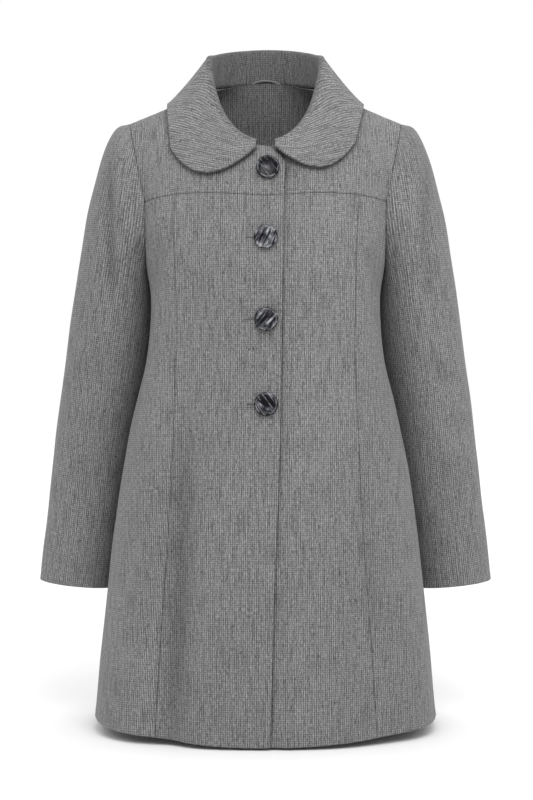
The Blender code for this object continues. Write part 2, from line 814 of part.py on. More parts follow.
def hanger_loop(finish):
    """The narrow cloth loop inside the back of the neck."""
    curve = bpy.data.curves.new("hanger_loop", "CURVE")
    curve.dimensions = "3D"
    curve.bevel_depth = LOOP_RADIUS
    curve.bevel_resolution = 1
    curve.use_fill_caps = True
    route = curve.splines.new("POLY")
    route.points.add(LOOP_STEPS)
    stand_face = NECK_BACK_Y - COLLAR_CLOTH / 2 - LOOP_CLEAR - LOOP_RADIUS
    for point, share in zip(route.points, steps(LOOP_STEPS, -1, 1)):
        x = LOOP_HALF_LENGTH * share
        bow = NECK_BACK_Y - neck_point(math.asin(abs(x) / NECK_HALF_WIDTH) / (math.pi / 2), True).y
        z = NECK_BACK_Z + LOOP_RADIUS + LOOP_RISE * (1 - share**2)
        point.co = (x, stand_face - bow, z, 1)
    loop = bpy.data.objects.new("hanger_loop", curve)
    COAT.objects.link(loop)
    curve.materials.append(finish)


def front_surface(x, z):
    """A point on the outside of the right front and its way out, near the centre front."""
    if z > yoke_z(x):
        shares = np.linspace(0, 1, 41)
        t = float(np.interp(-z, [-rib_point(0, False, share).z for share in shares], shares))
        point, normal = rib_point(0, False, t), rib_normal(0, False, t)
    else:
        point, normal = body_point(1, girth_at_x(abs(x), z), z), body_normal(1, 0, z)
    return Vector((x, point.y, z)), normal


def button(number, x, z, finish):
    """A dished coat button on its shank, turned about its axis."""
    profile = (
        (0.0, BUTTON_DISH),
        (DISH_RADIUS, BUTTON_DISH),
        (RIM_INSIDE, BUTTON_RIM),
        (RIM_OUTSIDE, BUTTON_RIM),
        (BUTTON_RADIUS, BUTTON_RIM - BUTTON_EDGE),
        (BUTTON_RADIUS, BUTTON_EDGE),
        (UNDER_RADIUS, 0.0),
        (SHANK_RADIUS, 0.0),
        (SHANK_RADIUS, -SHANK_LENGTH),
        (0.0, -SHANK_LENGTH),
    )
    name = f"button_{number}"
    mesh = bpy.data.meshes.new(name)
    bm = bmesh.new()
    verts = [bm.verts.new((radius, 0, height)) for radius, height in profile]
    for first, second in zip(verts, verts[1:]):
        bm.edges.new((first, second))
    bm.to_mesh(mesh)
    bm.free()
    made = bpy.data.objects.new(name, mesh)
    COAT.objects.link(made)
    turned = made.modifiers.new("turned", "SCREW")
    turned.steps = turned.render_steps = BUTTON_SIDES
    turned.use_merge_vertices = True
    turned.merge_threshold = 0.00005
    turned.use_smooth_shade = True
    point, normal = front_surface(x, z)
    made.rotation_mode = "QUATERNION"
    made.rotation_quaternion = normal.to_track_quat("Z", "Y")
    made.location = point + normal * (SHANK_LENGTH + SEAM_GAP * 2)
    mesh.materials.append(finish)


def make_coat():
    """Every piece of the coat."""
    wool = material("grey_check_wool", WOOL_GREY, 0.9)
    inside = material("facing_wool", FACING_GREY, 0.9)
    loop_cloth = material("loop_cloth", LOOP_GREY, 0.8)
    horn = material("dark_horn", BUTTON_INK, 0.25)
    for side, word in ((-1, "right"), (1, "left")):
        front_panels(side, word, wool)
        front_yoke(side, word, wool)
        sleeve(side, word, wool)
        back_panel(side, word, wool)
    collar(wool)
    back_neck_facing(inside)
    hanger_loop(loop_cloth)
    for number, row in enumerate(BUTTONS, start=1):
        place = dict(zip(BUTTON_COLUMNS, row))
        button(number, place["x"], place["z"], horn)


for old in list(bpy.data.objects):
    bpy.data.objects.remove(old)
COAT = bpy.data.collections.new("overcoat")
bpy.context.scene.collection.children.link(COAT)
make_coat()
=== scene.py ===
"""Looks of the overcoat: grey check wool panels, a round collar, horn buttons and a plain studio.

Metres, +Z up, the coat's front towards -Y. "right" and "left" are the wearer's, so the right
half is at -X. The body's form repeats the solids' own sizes, at a finer step.
"""

import logging
import math
from dataclasses import dataclass, field
from enum import Enum
from typing import Callable

import bpy
import numpy as np
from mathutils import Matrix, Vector
from mathutils.kdtree import KDTree

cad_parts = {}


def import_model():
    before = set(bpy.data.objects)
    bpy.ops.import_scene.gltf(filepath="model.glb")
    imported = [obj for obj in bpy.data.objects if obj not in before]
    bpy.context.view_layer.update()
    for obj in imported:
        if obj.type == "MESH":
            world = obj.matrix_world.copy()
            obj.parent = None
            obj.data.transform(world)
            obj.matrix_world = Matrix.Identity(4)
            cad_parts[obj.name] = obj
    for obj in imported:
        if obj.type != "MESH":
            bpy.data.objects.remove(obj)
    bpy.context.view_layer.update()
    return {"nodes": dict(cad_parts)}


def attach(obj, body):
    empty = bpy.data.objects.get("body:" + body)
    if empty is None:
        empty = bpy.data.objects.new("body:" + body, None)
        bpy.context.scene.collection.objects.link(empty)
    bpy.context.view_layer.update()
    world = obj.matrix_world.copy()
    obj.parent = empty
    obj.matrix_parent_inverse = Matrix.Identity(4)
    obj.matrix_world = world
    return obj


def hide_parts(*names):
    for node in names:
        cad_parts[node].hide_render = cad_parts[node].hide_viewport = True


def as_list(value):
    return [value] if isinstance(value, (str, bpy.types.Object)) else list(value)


LOG = logging.getLogger("overcoat")
Array = np.ndarray
Object = bpy.types.Object
Material = bpy.types.Material
Socket = bpy.types.NodeSocket
Pair = tuple[float, float]
Place = tuple[float, float, float]
Colour = tuple[float, float, float]
CreaseRow = tuple[tuple[Pair, ...], float, float]

BODY = "root"
GRAIN_MAP = "grain"
FACE_MAP = "face"
# Name of the mesh attribute that holds painted shade, 0 to 1: the seams' grooves, crease troughs, cloth
# under or against other pieces, and the collar's stand
PAINTED_SHADE_ATTRIBUTE = "seam"
COAT_SLOT = "coat_wool"
TINY = 1e-12

# The wave node's scale for one band a metre, and how finely its bands are broken up
WAVE_TURN = math.pi / 10
WAVE_DETAIL = 2.0

# Sockets of the nodes that move a range and that mix, these by place as its kinds share names
RANGE_SOCKETS = ("From Min", "From Max", "To Min", "To Max")
MIX_SHARE = 0
MIX_NUMBERS = (2, 3)
MIX_COLOURS = (6, 7)
MIX_NUMBER_OUT = 0
MIX_COLOUR_OUT = 2

# Body sections from the hem up, each a rounded oval
SECTION_COLUMNS = ("z", "half_width", "front_y", "back_y", "side_y")
SECTIONS = (
    (-0.880, 0.2270, -0.180, 0.172, -0.020),
    (-0.850, 0.2240, -0.177, 0.169, -0.020),
    (-0.764, 0.2160, -0.168, 0.160, -0.020),
    (-0.684, 0.2080, -0.159, 0.151, -0.020),
    (-0.600, 0.1985, -0.149, 0.141, -0.020),
    (-0.506, 0.1845, -0.136, 0.128, -0.020),
    (-0.440, 0.1710, -0.126, 0.117, -0.020),
    (-0.380, 0.1570, -0.118, 0.108, -0.019),
    (-0.335, 0.1515, -0.118, 0.104, -0.016),
    (-0.300, 0.1510, -0.121, 0.104, -0.012),
    (-0.258, 0.1570, -0.123, 0.106, -0.006),
    (-0.215, 0.1640, -0.119, 0.107, -0.003),
    (-0.174, 0.1680, -0.111, 0.105, 0.000),
    (-0.140, 0.1700, -0.103, 0.101, 0.002),
)

# Soft folds of the skirt, deepest at the hem: girth 0 centre front, 1 side seam, 2 centre back
FOLD_COLUMNS = ("side", "girth", "half_span", "depth", "start_z")
FOLDS = (
    (-1, 0.42, 0.10, -0.0085, -0.42),
    (-1, 0.68, 0.13, 0.0045, -0.46),
    (1, 0.50, 0.11, -0.0045, -0.48),
    (1, 0.74, 0.12, 0.0035, -0.50),
    (-1, 1.45, 0.13, -0.0070, -0.48),
    (1, 1.50, 0.13, -0.0060, -0.50),
    (-1, 1.75, 0.12, 0.0040, -0.52),
    (1, 1.80, 0.12, 0.0040, -0.50),
)

# Seam lines of the front, by height or by distance from the centre front
PRINCESS_COLUMNS = ("z", "x")
PRINCESS = (
    (-0.870, 0.1430),
    (-0.740, 0.1340),
    (-0.620, 0.1250),
    (-0.520, 0.1190),
    (-0.410, 0.1150),
    (-0.340, 0.1140),
    (-0.265, 0.1155),
    (-0.160, 0.1190),
)
YOKE_COLUMNS = ("x", "z")
YOKE = (
    (0.000, -0.1735),
    (0.030, -0.1715),
    (0.070, -0.1690),
    (0.119, -0.1695),
    (0.157, -0.1740),
)
EDGE_COLUMNS = ("z", "x")
FRONT_EDGE = (
    (-0.870, 0.0055),
    (-0.768, 0.0080),
    (-0.675, 0.0106),
    (-0.580, 0.0145),
    (-0.458, 0.0188),
    (-0.305, 0.0209),
    (-0.100, 0.0250),
)

# Sleeve rings from the armhole to the cuff: outer and inner point, depth and place front to back
SLEEVE_COLUMNS = ("ring", "outer_x", "outer_z", "inner_x", "inner_z", "y", "half_depth")
SLEEVE = (
    (0, 0.1800, -0.0645, 0.1570, -0.2580, 0.004, 0.0570),
    (1, 0.1965, -0.0690, 0.1578, -0.2625, 0.006, 0.0605),
    (2, 0.2090, -0.0860, 0.1568, -0.2680, 0.010, 0.0625),
    (3, 0.2210, -0.1150, 0.1550, -0.2760, 0.015, 0.0635),
    (4, 0.2310, -0.1500, 0.1515, -0.2880, 0.021, 0.0635),
    (5, 0.2410, -0.1920, 0.1500, -0.3060, 0.027, 0.0625),
    (6, 0.2505, -0.2450, 0.1500, -0.3320, 0.033, 0.0610),
    (7, 0.2605, -0.3060, 0.1515, -0.3660, 0.037, 0.0590),
    (8, 0.2700, -0.3780, 0.1590, -0.4120, 0.039, 0.0570),
    (9, 0.2790, -0.4430, 0.1700, -0.4650, 0.040, 0.0550),
    (10, 0.2870, -0.5120, 0.1810, -0.5260, 0.040, 0.0530),
    (11, 0.2945, -0.5820, 0.1915, -0.5930, 0.040, 0.0510),
    (12, 0.3045, -0.6730, 0.2040, -0.6840, 0.038, 0.0490),
)

# Middle of the arm from the cuff up, about which the sleeve's cloth is unrolled
ARM_COLUMNS = ("z", "x", "y", "radius")
ARM = (
    (-0.690, 0.2545, 0.038, 0.0497),
    (-0.600, 0.2422, 0.040, 0.0515),
    (-0.520, 0.2313, 0.040, 0.0535),
    (-0.450, 0.2218, 0.040, 0.0557),
    (-0.380, 0.2122, 0.039, 0.0575),
    (-0.300, 0.2013, 0.036, 0.0578),
    (-0.200, 0.1877, 0.025, 0.0578),
    (-0.120, 0.1768, 0.015, 0.0570),
    (-0.060, 0.1686, 0.005, 0.0540),
)

# Collar along the neck: 0 centre front, 1 shoulder, 2 centre back
COLLAR_COLUMNS = ("place", "stand", "fall")
COLLAR = (
    (0.09, 0.0045, 0.010),
    (0.15, 0.0050, 0.029),
    (0.22, 0.0055, 0.050),
    (0.30, 0.0060, 0.065),
    (0.45, 0.0085, 0.074),
    (0.60, 0.0140, 0.073),
    (0.80, 0.0280, 0.064),
    (1.00, 0.0410, 0.062),
    (1.30, 0.0445, 0.069),
    (1.60, 0.0470, 0.076),
    (2.00, 0.0480, 0.079),
)

# Buttons down the centre front: how the streaks are turned and moved, how smoky the horn is
# and how far the hole reaches in
BUTTON_COLUMNS = ("x", "z", "streak_turn", "streak_shift", "smokiness", "hole_reach")
BUTTONS = (
    (0.0030, -0.1390, -0.75, 0.2, -0.05, 0.0125),
    (0.0003, -0.2275, 0.45, 1.7, 0.03, 0.0252),
    (0.0008, -0.3300, 0.70, 3.1, 0.00, 0.0272),
    (0.0008, -0.4370, -0.65, 4.6, -0.08, 0.0243),
)

# Creases pressed in, as points seen from the front, with width and depth
CREASE_COLUMNS = ("points", "width", "depth")
CREASES = (
    (((-0.206, -0.090), (-0.204, -0.236), (-0.199, -0.310)), 0.0075, -0.0050),
    (((-0.190, -0.110), (-0.189, -0.236), (-0.185, -0.300)), 0.010, 0.0016),
    (((-0.222, -0.120), (-0.222, -0.240), (-0.226, -0.330)), 0.014, 0.0014),
    (((0.206, -0.105), (0.212, -0.232), (0.216, -0.310)), 0.009, -0.0030),
    (((0.226, -0.140), (0.230, -0.250), (0.236, -0.330)), 0.016, 0.0012),
    (((-0.205, -0.350), (-0.225, -0.385), (-0.252, -0.400)), 0.013, -0.0016),
    (((0.208, -0.360), (0.230, -0.398), (0.256, -0.410)), 0.013, -0.0015),
    (((-0.215, -0.470), (-0.240, -0.520), (-0.250, -0.580)), 0.018, -0.0012),
    (((0.214, -0.480), (0.236, -0.535), (0.258, -0.590)), 0.018, -0.0012),
    (((-0.128, -0.215), (-0.142, -0.262), (-0.150, -0.300)), 0.010, -0.0018),
    (((0.128, -0.218), (0.142, -0.268), (0.149, -0.305)), 0.010, -0.0018),
    (((-0.100, -0.400), (-0.106, -0.600), (-0.111, -0.720), (-0.118, -0.930)), 0.015, -0.0052),
    (((-0.142, -0.450), (-0.154, -0.660), (-0.164, -0.900)), 0.016, 0.0024),
    (((0.118, -0.470), (0.126, -0.600), (0.136, -0.760)), 0.012, -0.0012),
)

# The soft roll of the right front's edge, a ridge in the creases' columns
ROLL_LINE = ((0.026, -0.090), (0.021, -0.305), (0.0188, -0.458), (0.0106, -0.675), (0.0055, -0.880))
FRONT_EDGE_ROLL = ((ROLL_LINE, 0.009, 0.0013),)

# Ripples of the cloth: for each sine its rates along x, y and z, in radians a metre, and its start
SLOW_WAVE = ((41.0, 0.0, 13.0, 0.4), (0.0, -17.0, 23.0, 1.1))
FAST_WAVE = ((29.0, 0.0, 71.0, 2.0), (53.0, 47.0, 0.0, 0.3))
BROAD_PUCKER = ((110.0, 0.0, 330.0, 0.0), (210.0, 260.0, 0.0, 0.7))
FINE_PUCKER = ((520.0, 520.0, 520.0, 0.0),)


def ease(t: Array) -> Array:
    """0 to 1 with flat ends."""
    t = np.clip(t, 0.0, 1.0)
    return t * t * (3 - 2 * t)


def unit(vectors: Array) -> Array:
    """The vectors at length 1."""
    return vectors / np.maximum(np.linalg.norm(vectors, axis=-1, keepdims=True), TINY)


def stack(x: Array, y: Array, z: Array) -> Array:
    """Three coordinates as points."""
    return np.stack(np.broadcast_arrays(x, y, z), axis=-1)


def graded(length: float, step: float) -> Array:
    """Shares of a length, evenly spaced but close together at both ends.

    Args:
        length: the length in metres.
        step: the distance between shares away from the ends, in metres.

    Returns:
        Shares from 0 to 1.
    """
    near = np.array([0.0, 0.0004, 0.0010, 0.0018, 0.0030])
    count = max(2, round((length - 2 * near[-1]) / step))
    middle = np.linspace(near[-1], length - near[-1], count + 1)[1:-1]
    return np.concatenate([near, middle, length - near[::-1]]) / length


def ripple(points: Array, sines: tuple[tuple[float, ...], ...]) -> Array:
    """Crossed ripples at points of the cloth, -1 to 1: the product of a row's sine each."""
    return np.prod([np.sin(points @ np.array(row[:3]) + row[3]) for row in sines], axis=0)


@dataclass
class Track:
    """A smooth curve through values at knots."""

    knots: Array
    values: Array

    def __post_init__(self) -> None:
        """Works out the curve's slopes at its knots."""
        self.slopes = np.gradient(self.values, self.knots)

    def __call__(self, at: Array) -> Array:
        """The curve's value.

        Args:
            at: where to read it, kept within the knots.

        Returns:
            The values there.
        """
        knots, values, slopes = self.knots, self.values, self.slopes
        at = np.clip(at, knots[0], knots[-1])
        i = np.clip(np.searchsorted(knots, at) - 1, 0, len(knots) - 2)
        step = knots[i + 1] - knots[i]
        t = (at - knots[i]) / step
        start = values[i] * (1 + 2 * t) * (1 - t) ** 2 + slopes[i] * step * t * (1 - t) ** 2
        return start + values[i + 1] * t * t * (3 - 2 * t) + slopes[i + 1] * step * t * t * (t - 1)


def tracks(names: tuple[str, ...], rows: tuple[tuple[float, ...], ...]) -> dict[str, Track]:
    """A table's columns, by name, as curves over its first column."""
    table = np.array(rows, float).T
    return {name: Track(table[0], column) for name, column in zip(names, table)}


class Side(Enum):
    """A half of the coat, as its wearer has it."""

    RIGHT = -1
    LEFT = 1

    @property
    def word(self) -> str:
        """The half's word in the pieces' names."""
        return self.name.lower()


class Zone(Enum):
    """A stretch of a front half's width, from its edge to the side seam."""

    EDGE = 0
    CENTRE = 1
    SIDE = 2
    ARMHOLE = 3


class Edge(Enum):
    """An edge of a piece of cloth that is turned up, not sewn to another piece."""

    FIRST_ROW = (0, slice(None))
    LAST_ROW = (-1, slice(None))
    FIRST_COLUMN = (slice(None), 0)


class Held(Enum):
    """How a piece of cloth is held, in the frame's words."""

    HUNG = "hung"
    FOLDED = "folded"
    LAID = "laid"


@dataclass
class BodyForm:
    """The filled-out form that the coat's panels are cut to: skirt, chest, shoulders and neck."""

    oval_power: float = 2.3
    hem_front_z: float = -0.856
    hem_side_z: float = -0.842
    hem_back_z: float = -0.846
    fold_fade: float = 1.5
    overlap: float = 0.044
    neck_half_width: float = 0.072
    neck_front: Pair = (-0.080, -0.1055)
    neck_back: Pair = (0.072, 0.0)
    neck_side_z: float = -0.018
    neck_dip: float = 1.3
    shoulder_tip: Place = (0.180, 0.005, -0.0645)
    front_corner_x: float = 0.157
    back_corner_x: float = 0.160
    back_line_z: float = -0.174
    underarm_z: float = -0.258
    corner_rib: float = 0.6
    rib_reach: float = 0.5
    rib_step: float = 0.01
    girth_step: float = 0.01
    height_step: float = 0.003
    line_reach: float = 0.001
    height_count: int = 420
    share_count: int = 257
    turn_count: int = 193
    rib_count: int = 41
    settle_rounds: int = 3

    def __post_init__(self) -> None:
        """Works out the form's tables once."""
        self.section = tracks(SECTION_COLUMNS, SECTIONS)
        self.princess_x = tracks(PRINCESS_COLUMNS, PRINCESS)["x"]
        self.yoke_z = self.mirrored(tracks(YOKE_COLUMNS, YOKE)["z"])
        self.edge_x = tracks(EDGE_COLUMNS, FRONT_EDGE)["x"]
        self.heights = np.linspace(SECTIONS[0][0], SECTIONS[-1][0], self.height_count)
        self.shares = np.linspace(0.0, 1.0, self.share_count)
        self.front = self.quarter("front_y")
        self.back = self.quarter("back_y")
        self.princess_girths = self.girths_at(self.princess_x(self.heights))
        self.edge_girths = {
            Side.RIGHT: self.girths_at(self.edge_x(self.heights)),
            Side.LEFT: self.girths_at(self.overlap - self.edge_x(self.heights)),
        }
        corner_z = float(self.yoke_z(np.array(self.front_corner_x)))
        self.front_corner = self.girth_at_x(self.front_corner_x, corner_z, self.front)
        self.back_corner = self.girth_at_x(self.back_corner_x, self.back_line_z, self.back)
        top_z = float(self.yoke_z(np.array(PRINCESS[-1][1])))
        self.princess_top = float(self.princess_girth(np.array(top_z)))

    @staticmethod
    def mirrored(track: Track) -> Callable[[Array], Array]:
        """The same curve on both sides of the middle."""
        return lambda at: track(np.abs(at))

    def quarter(self, column: str) -> tuple[Array, Array, Array]:
        """A quarter of every section, from the centre to the side seam, at even shares of its length.

        Args:
            column: the section column that gives the depth, front or back.

        Returns:
            x and y by height and share, and the length by height.
        """
        turn = np.linspace(0.0, math.pi / 2, self.turn_count)
        power = 2 / self.oval_power
        side_y = self.section["side_y"](self.heights)[:, None]
        reach = self.section[column](self.heights)[:, None] - side_y
        x = self.section["half_width"](self.heights)[:, None] * np.sin(turn) ** power
        y = side_y + reach * np.clip(np.cos(turn), 0, 1) ** power
        steps = np.hypot(np.diff(x, axis=1), np.diff(y, axis=1))
        lengths = np.concatenate([np.zeros((len(x), 1)), np.cumsum(steps, axis=1)], axis=1)
        wanted = self.shares[None, :] * lengths[:, -1:]
        rows_x = np.array([np.interp(w, l, v) for w, l, v in zip(wanted, lengths, x)])
        rows_y = np.array([np.interp(w, l, v) for w, l, v in zip(wanted, lengths, y)])
        return rows_x, rows_y, lengths[:, -1]

    def read(self, table: Array, z: Array, share: Array) -> Array:
        """A table's value between its heights and shares."""
        at_z = (np.clip(z, self.heights[0], self.heights[-1]) - self.heights[0]) / (
            self.heights[1] - self.heights[0]
        )
        at_share = np.clip(share, 0.0, 1.0) * (len(self.shares) - 1)
        i = np.clip(at_z.astype(int), 0, len(self.heights) - 2)
        j = np.clip(at_share.astype(int), 0, len(self.shares) - 2)
        p, q = at_z - i, at_share - j
        low = table[i, j] * (1 - q) + table[i, j + 1] * q
        high = table[i + 1, j] * (1 - q) + table[i + 1, j + 1] * q
        return low * (1 - p) + high * p

    def girth_at_x(self, x: float, z: float, quarter: tuple[Array, Array, Array]) -> float:
        """Share of a quarter's length where it is x from the middle."""
        row = self.read(quarter[0], np.full(self.shares.shape, z), self.shares)
        return float(np.interp(x, row, self.shares))

    def girths_at(self, x: Array) -> Array:
        """The front's girth at a distance from the middle, for each height of the tables."""
        return np.array([np.interp(a, row, self.shares) for a, row in zip(x, self.front[0])])

    def princess_girth(self, z: Array) -> Array:
        """Girth of the seam between centre and side front."""
        return np.interp(z, self.heights, self.princess_girths)

    def edge_girth(self, side: Side, z: Array) -> Array:
        """How far a front half reaches past the centre front, as a girth."""
        return np.interp(z, self.heights, self.edge_girths[side])

    def hem_z(self, girth: Array) -> Array:
        """Height of the hem, dipping a little at the front and back."""
        girth = np.abs(girth)
        end = np.where(girth > 1, self.hem_back_z, self.hem_front_z)
        return self.hem_side_z + (end - self.hem_side_z) * ease(np.abs(1 - girth))

    def fold_height(self, side: Array, girth: Array, z: Array) -> Array:
        """How far the skirt's folds move a point out, or in where negative."""
        total = np.zeros(np.shape(z))
        for row in FOLDS:
            fold = dict(zip(FOLD_COLUMNS, row))
            drop = np.clip(fold["start_z"] - z, 0, None) / (fold["start_z"] - self.hem_front_z)
            bell = np.exp(-(((girth - fold["girth"]) / fold["half_span"]) ** 2))
            lift = fold["depth"] * drop**self.fold_fade * bell
            total = total + np.where(side == fold["side"], lift, 0)
        return total

    def point(self, side: int, girth: Array, z: Array) -> Array:
        """Points on the outside of the body below the shoulders.

        Args:
            side: -1 for the right half, 1 for the left.
            girth: 0 centre front, 1 side seam, 2 centre back; past the middle it is on the other side.
            z: heights.

        Returns:
            The points.
        """
        girth, z = np.broadcast_arrays(np.asarray(girth, float), np.asarray(z, float))
        past = (girth < 0) | (girth > 2)
        sign = np.where(past, -side, side)
        girth = np.where(girth < 0, -girth, np.where(girth > 2, 4 - girth, girth))
        back = girth > 1
        along = np.where(back, 2 - girth, girth)
        x = np.where(back, self.read(self.back[0], z, along), self.read(self.front[0], z, along))
        y = np.where(back, self.read(self.back[1], z, along), self.read(self.front[1], z, along))
        way_y = y - self.section["side_y"](z)
        length = np.maximum(np.hypot(x, way_y), TINY)
        lift = self.fold_height(sign, girth, z)
        return stack((x + x / length * lift) * sign, y + way_y / length * lift, z)

    def normal(self, side: int, girth: Array, z: Array) -> Array:
        """The way out of the body's surface."""
        g, h = self.girth_step, self.height_step
        along = self.point(side, girth + g, z) - self.point(side, girth - g, z)
        up = self.point(side, girth, z + h) - self.point(side, girth, z - h)
        return unit(np.cross(along, up)) * side

    def grain(self, side: int, girth: Array, z: Array) -> Array:
        """Where a point lies on the flat cloth: across from the middle, and up."""
        front = np.interp(z, self.heights, self.front[2])
        back = np.interp(z, self.heights, self.back[2])
        across = np.where(girth > 1, (2 - girth) * back, girth * front) * side
        return np.stack([across, np.broadcast_to(z, across.shape)], axis=-1)

    def neck(self, rib: Array, back: bool) -> Array:
        """The neckline, from the centre (rib 0) to the shoulder (rib 1)."""
        turn = np.asarray(rib, float) * math.pi / 2
        middle_y, middle_z = self.neck_back if back else self.neck_front
        cos = np.clip(np.cos(turn), 0, None)
        z = self.neck_side_z + (middle_z - self.neck_side_z) * cos**self.neck_dip
        return stack(self.neck_half_width * np.sin(turn), middle_y * cos, z)

    def line(self, share: Array, back: bool) -> Array:
        """The yoke seam, or the line across the back, from the centre to the armhole's corner."""
        share = np.asarray(share, float)
        if back:
            return self.point(1, 2 - self.back_corner * share, np.full(share.shape, self.back_line_z))
        girth, x = self.front_corner * share, self.front_corner_x * share
        for _ in range(self.settle_rounds):
            x = self.point(1, girth, self.yoke_z(x))[..., 0]
        return self.point(1, girth, self.yoke_z(x))

    def line_girth(self, share: Array, back: bool) -> Array:
        """Girth along the yoke seam or the line across the back."""
        return 2 - self.back_corner * share if back else self.front_corner * share

    def armhole_top(self, t: Array, back: bool) -> Array:
        """The upper half of the armhole, from its corner (0) to the shoulder's tip (1)."""
        t = np.asarray(t, float)[..., None]
        corner, tip = self.line(np.array(1.0), back), np.array(self.shoulder_tip)
        turn = np.array([tip[0], corner[1], tip[2]])
        return corner * (1 - t) ** 2 + turn * (2 * t * (1 - t)) + tip * t**2

    def armhole_low(self, turn: Array, back: bool) -> Array:
        """The lower half of the armhole, from its corner (0) to the underarm (a quarter turn)."""
        corner = self.back_corner if back else self.front_corner
        top = self.back_line_z if back else float(self.yoke_z(np.array(self.front_corner_x)))
        girth = 1 - (1 - corner) * np.cos(turn)
        z = top - (top - self.underarm_z) * np.sin(turn)
        return self.point(1, 2 - girth if back else girth, z)

    def line_control(self, share: Array, back: bool) -> Array:
        """A rib's control point, so that it leaves the body below without a break."""
        end = self.line(share, back)
        normal = self.normal(1, self.line_girth(share, back), end[..., 2])
        way = self.neck(share * self.corner_rib, back) - end
        flat = unit(way - normal * np.sum(way * normal, axis=-1, keepdims=True))
        return end + flat * np.linalg.norm(way, axis=-1, keepdims=True) * self.rib_reach

    def rib(self, rib: Array, back: bool, t: Array) -> Array:
        """Points of the upper body.

        Args:
            rib: 0 at the centre to 1 at the shoulder seam, one for each column.
            back: whether it is the back.
            t: 0 at the neckline to 1 at the yoke seam, back line or armhole.

        Returns:
            The points, with the columns last but one.
        """
        rib = np.asarray(rib, float)
        share = np.clip(rib / self.corner_rib, 0, 1)
        past = np.clip((rib - self.corner_rib) / (1 - self.corner_rib), 0, 1)
        high = (rib > self.corner_rib)[..., None]
        end = np.where(high, self.armhole_top(past, back), self.line(share, back))
        control = self.line_control(share, back)
        shoulder = (self.neck(np.array(1.0), back) + np.array(self.shoulder_tip)) / 2
        turned = control + (shoulder - control) * ease(past)[..., None]
        control = np.where(high, turned, control)
        t = np.asarray(t, float)[..., None]
        return self.neck(rib, back) * (1 - t) ** 2 + control * (2 * t * (1 - t)) + end * t**2

    def rib_slope(self, rib: Array, back: bool, t: Array) -> Array:
        """The way out of the upper body's surface, from its own side of the shoulder only."""
        low, high = np.clip(rib - self.rib_step, 0, 1), np.clip(rib + self.rib_step, 0, 1)
        across = self.rib(high, back, t) - self.rib(low, back, t)
        low, high = np.clip(t - self.rib_step, 0, 1), np.clip(t + self.rib_step, 0, 1)
        down = self.rib(rib, back, high) - self.rib(rib, back, low)
        return unit(np.cross(across, down) if back else np.cross(down, across))

    def rib_normal(self, rib: Array, back: bool, t: Array) -> Array:
        """The way out of the upper body's surface, shared by the pieces that meet at a seam.

        Args:
            rib: one rib for each column.
            back: whether it is the back.
            t: places along the ribs, rows by columns.

        Returns:
            Directions, rows by columns.
        """
        normal = self.rib_slope(rib, back, t)
        shoulder = (rib > 1 - self.rib_step)[:, None]
        normal = np.where(shoulder, normal + self.rib_slope(rib, not back, t), normal)
        normal[..., 0] = np.where(rib < self.rib_step, 0.0, normal[..., 0])
        share = np.clip(rib / self.corner_rib, 0, 1)
        below = self.normal(1, self.line_girth(share, back), self.line(share, back)[..., 2])
        on_line = ((t > 1 - self.line_reach) & (rib <= self.corner_rib))[..., None]
        return unit(np.where(on_line, below, normal))

    def rib_share(self, rib: Array, back: bool, distance: Array) -> Array:
        """The ribs' own measure at distances from the neckline along them.

        Args:
            rib: one rib for each column.
            back: whether it is the back.
            distance: distances, rows by columns.

        Returns:
            Shares from 0 to 1, rows by columns.
        """
        shares = np.linspace(0, 1, self.rib_count)
        points = self.rib(rib, back, np.repeat(shares[:, None], len(rib), axis=1))
        steps = np.linalg.norm(np.diff(points, axis=0), axis=-1)
        lengths = np.concatenate([np.zeros((1, len(rib))), np.cumsum(steps, axis=0)])
        columns = [np.interp(d, length, shares) for d, length in zip(distance.T, lengths.T)]
        return np.array(columns).T

    def high_grain(self, points: Array, back: bool) -> Array:
        """Where points of the upper body lie on the flat cloth, going on from the panel below."""
        shares = np.linspace(0, 1, self.rib_count)
        line = self.line(shares, back)
        low = self.grain(1, self.line_girth(shares, back), line[:, 2])
        x = np.abs(points[..., 0])
        rise = np.hypot(
            points[..., 1] - np.interp(x, line[:, 0], line[:, 1]),
            points[..., 2] - np.interp(x, line[:, 0], line[:, 2]),
        )
        across = np.interp(x, line[:, 0], low[:, 0]) + np.clip(x - line[-1, 0], 0, None)
        return np.stack([across * np.sign(points[..., 0]), low[0, 1] + rise], axis=-1)

    def front_surface(self, x: Array, z: Array) -> tuple[Array, Array]:
        """The outside of the right front near the centre front.

        Args:
            x: places across.
            z: heights.

        Returns:
            Points and the ways out there.
        """
        shares, middle = np.linspace(0, 1, self.rib_count), np.zeros(1)
        line = self.rib(middle, False, shares[:, None])[:, 0]
        t = np.interp(-z, -line[:, 2], shares)[:, None]
        girth = np.array([self.girth_at_x(abs(a), b, self.front) for a, b in zip(x, z)])
        above = (z > self.yoke_z(x))[:, None]
        points = np.where(above, self.rib(middle, False, t)[:, 0], self.point(1, girth, z))
        below = self.normal(1, np.zeros(len(z)), z)
        normals = np.where(above, self.rib_normal(middle, False, t)[:, 0], below)
        return stack(x, points[:, 1], z), normals


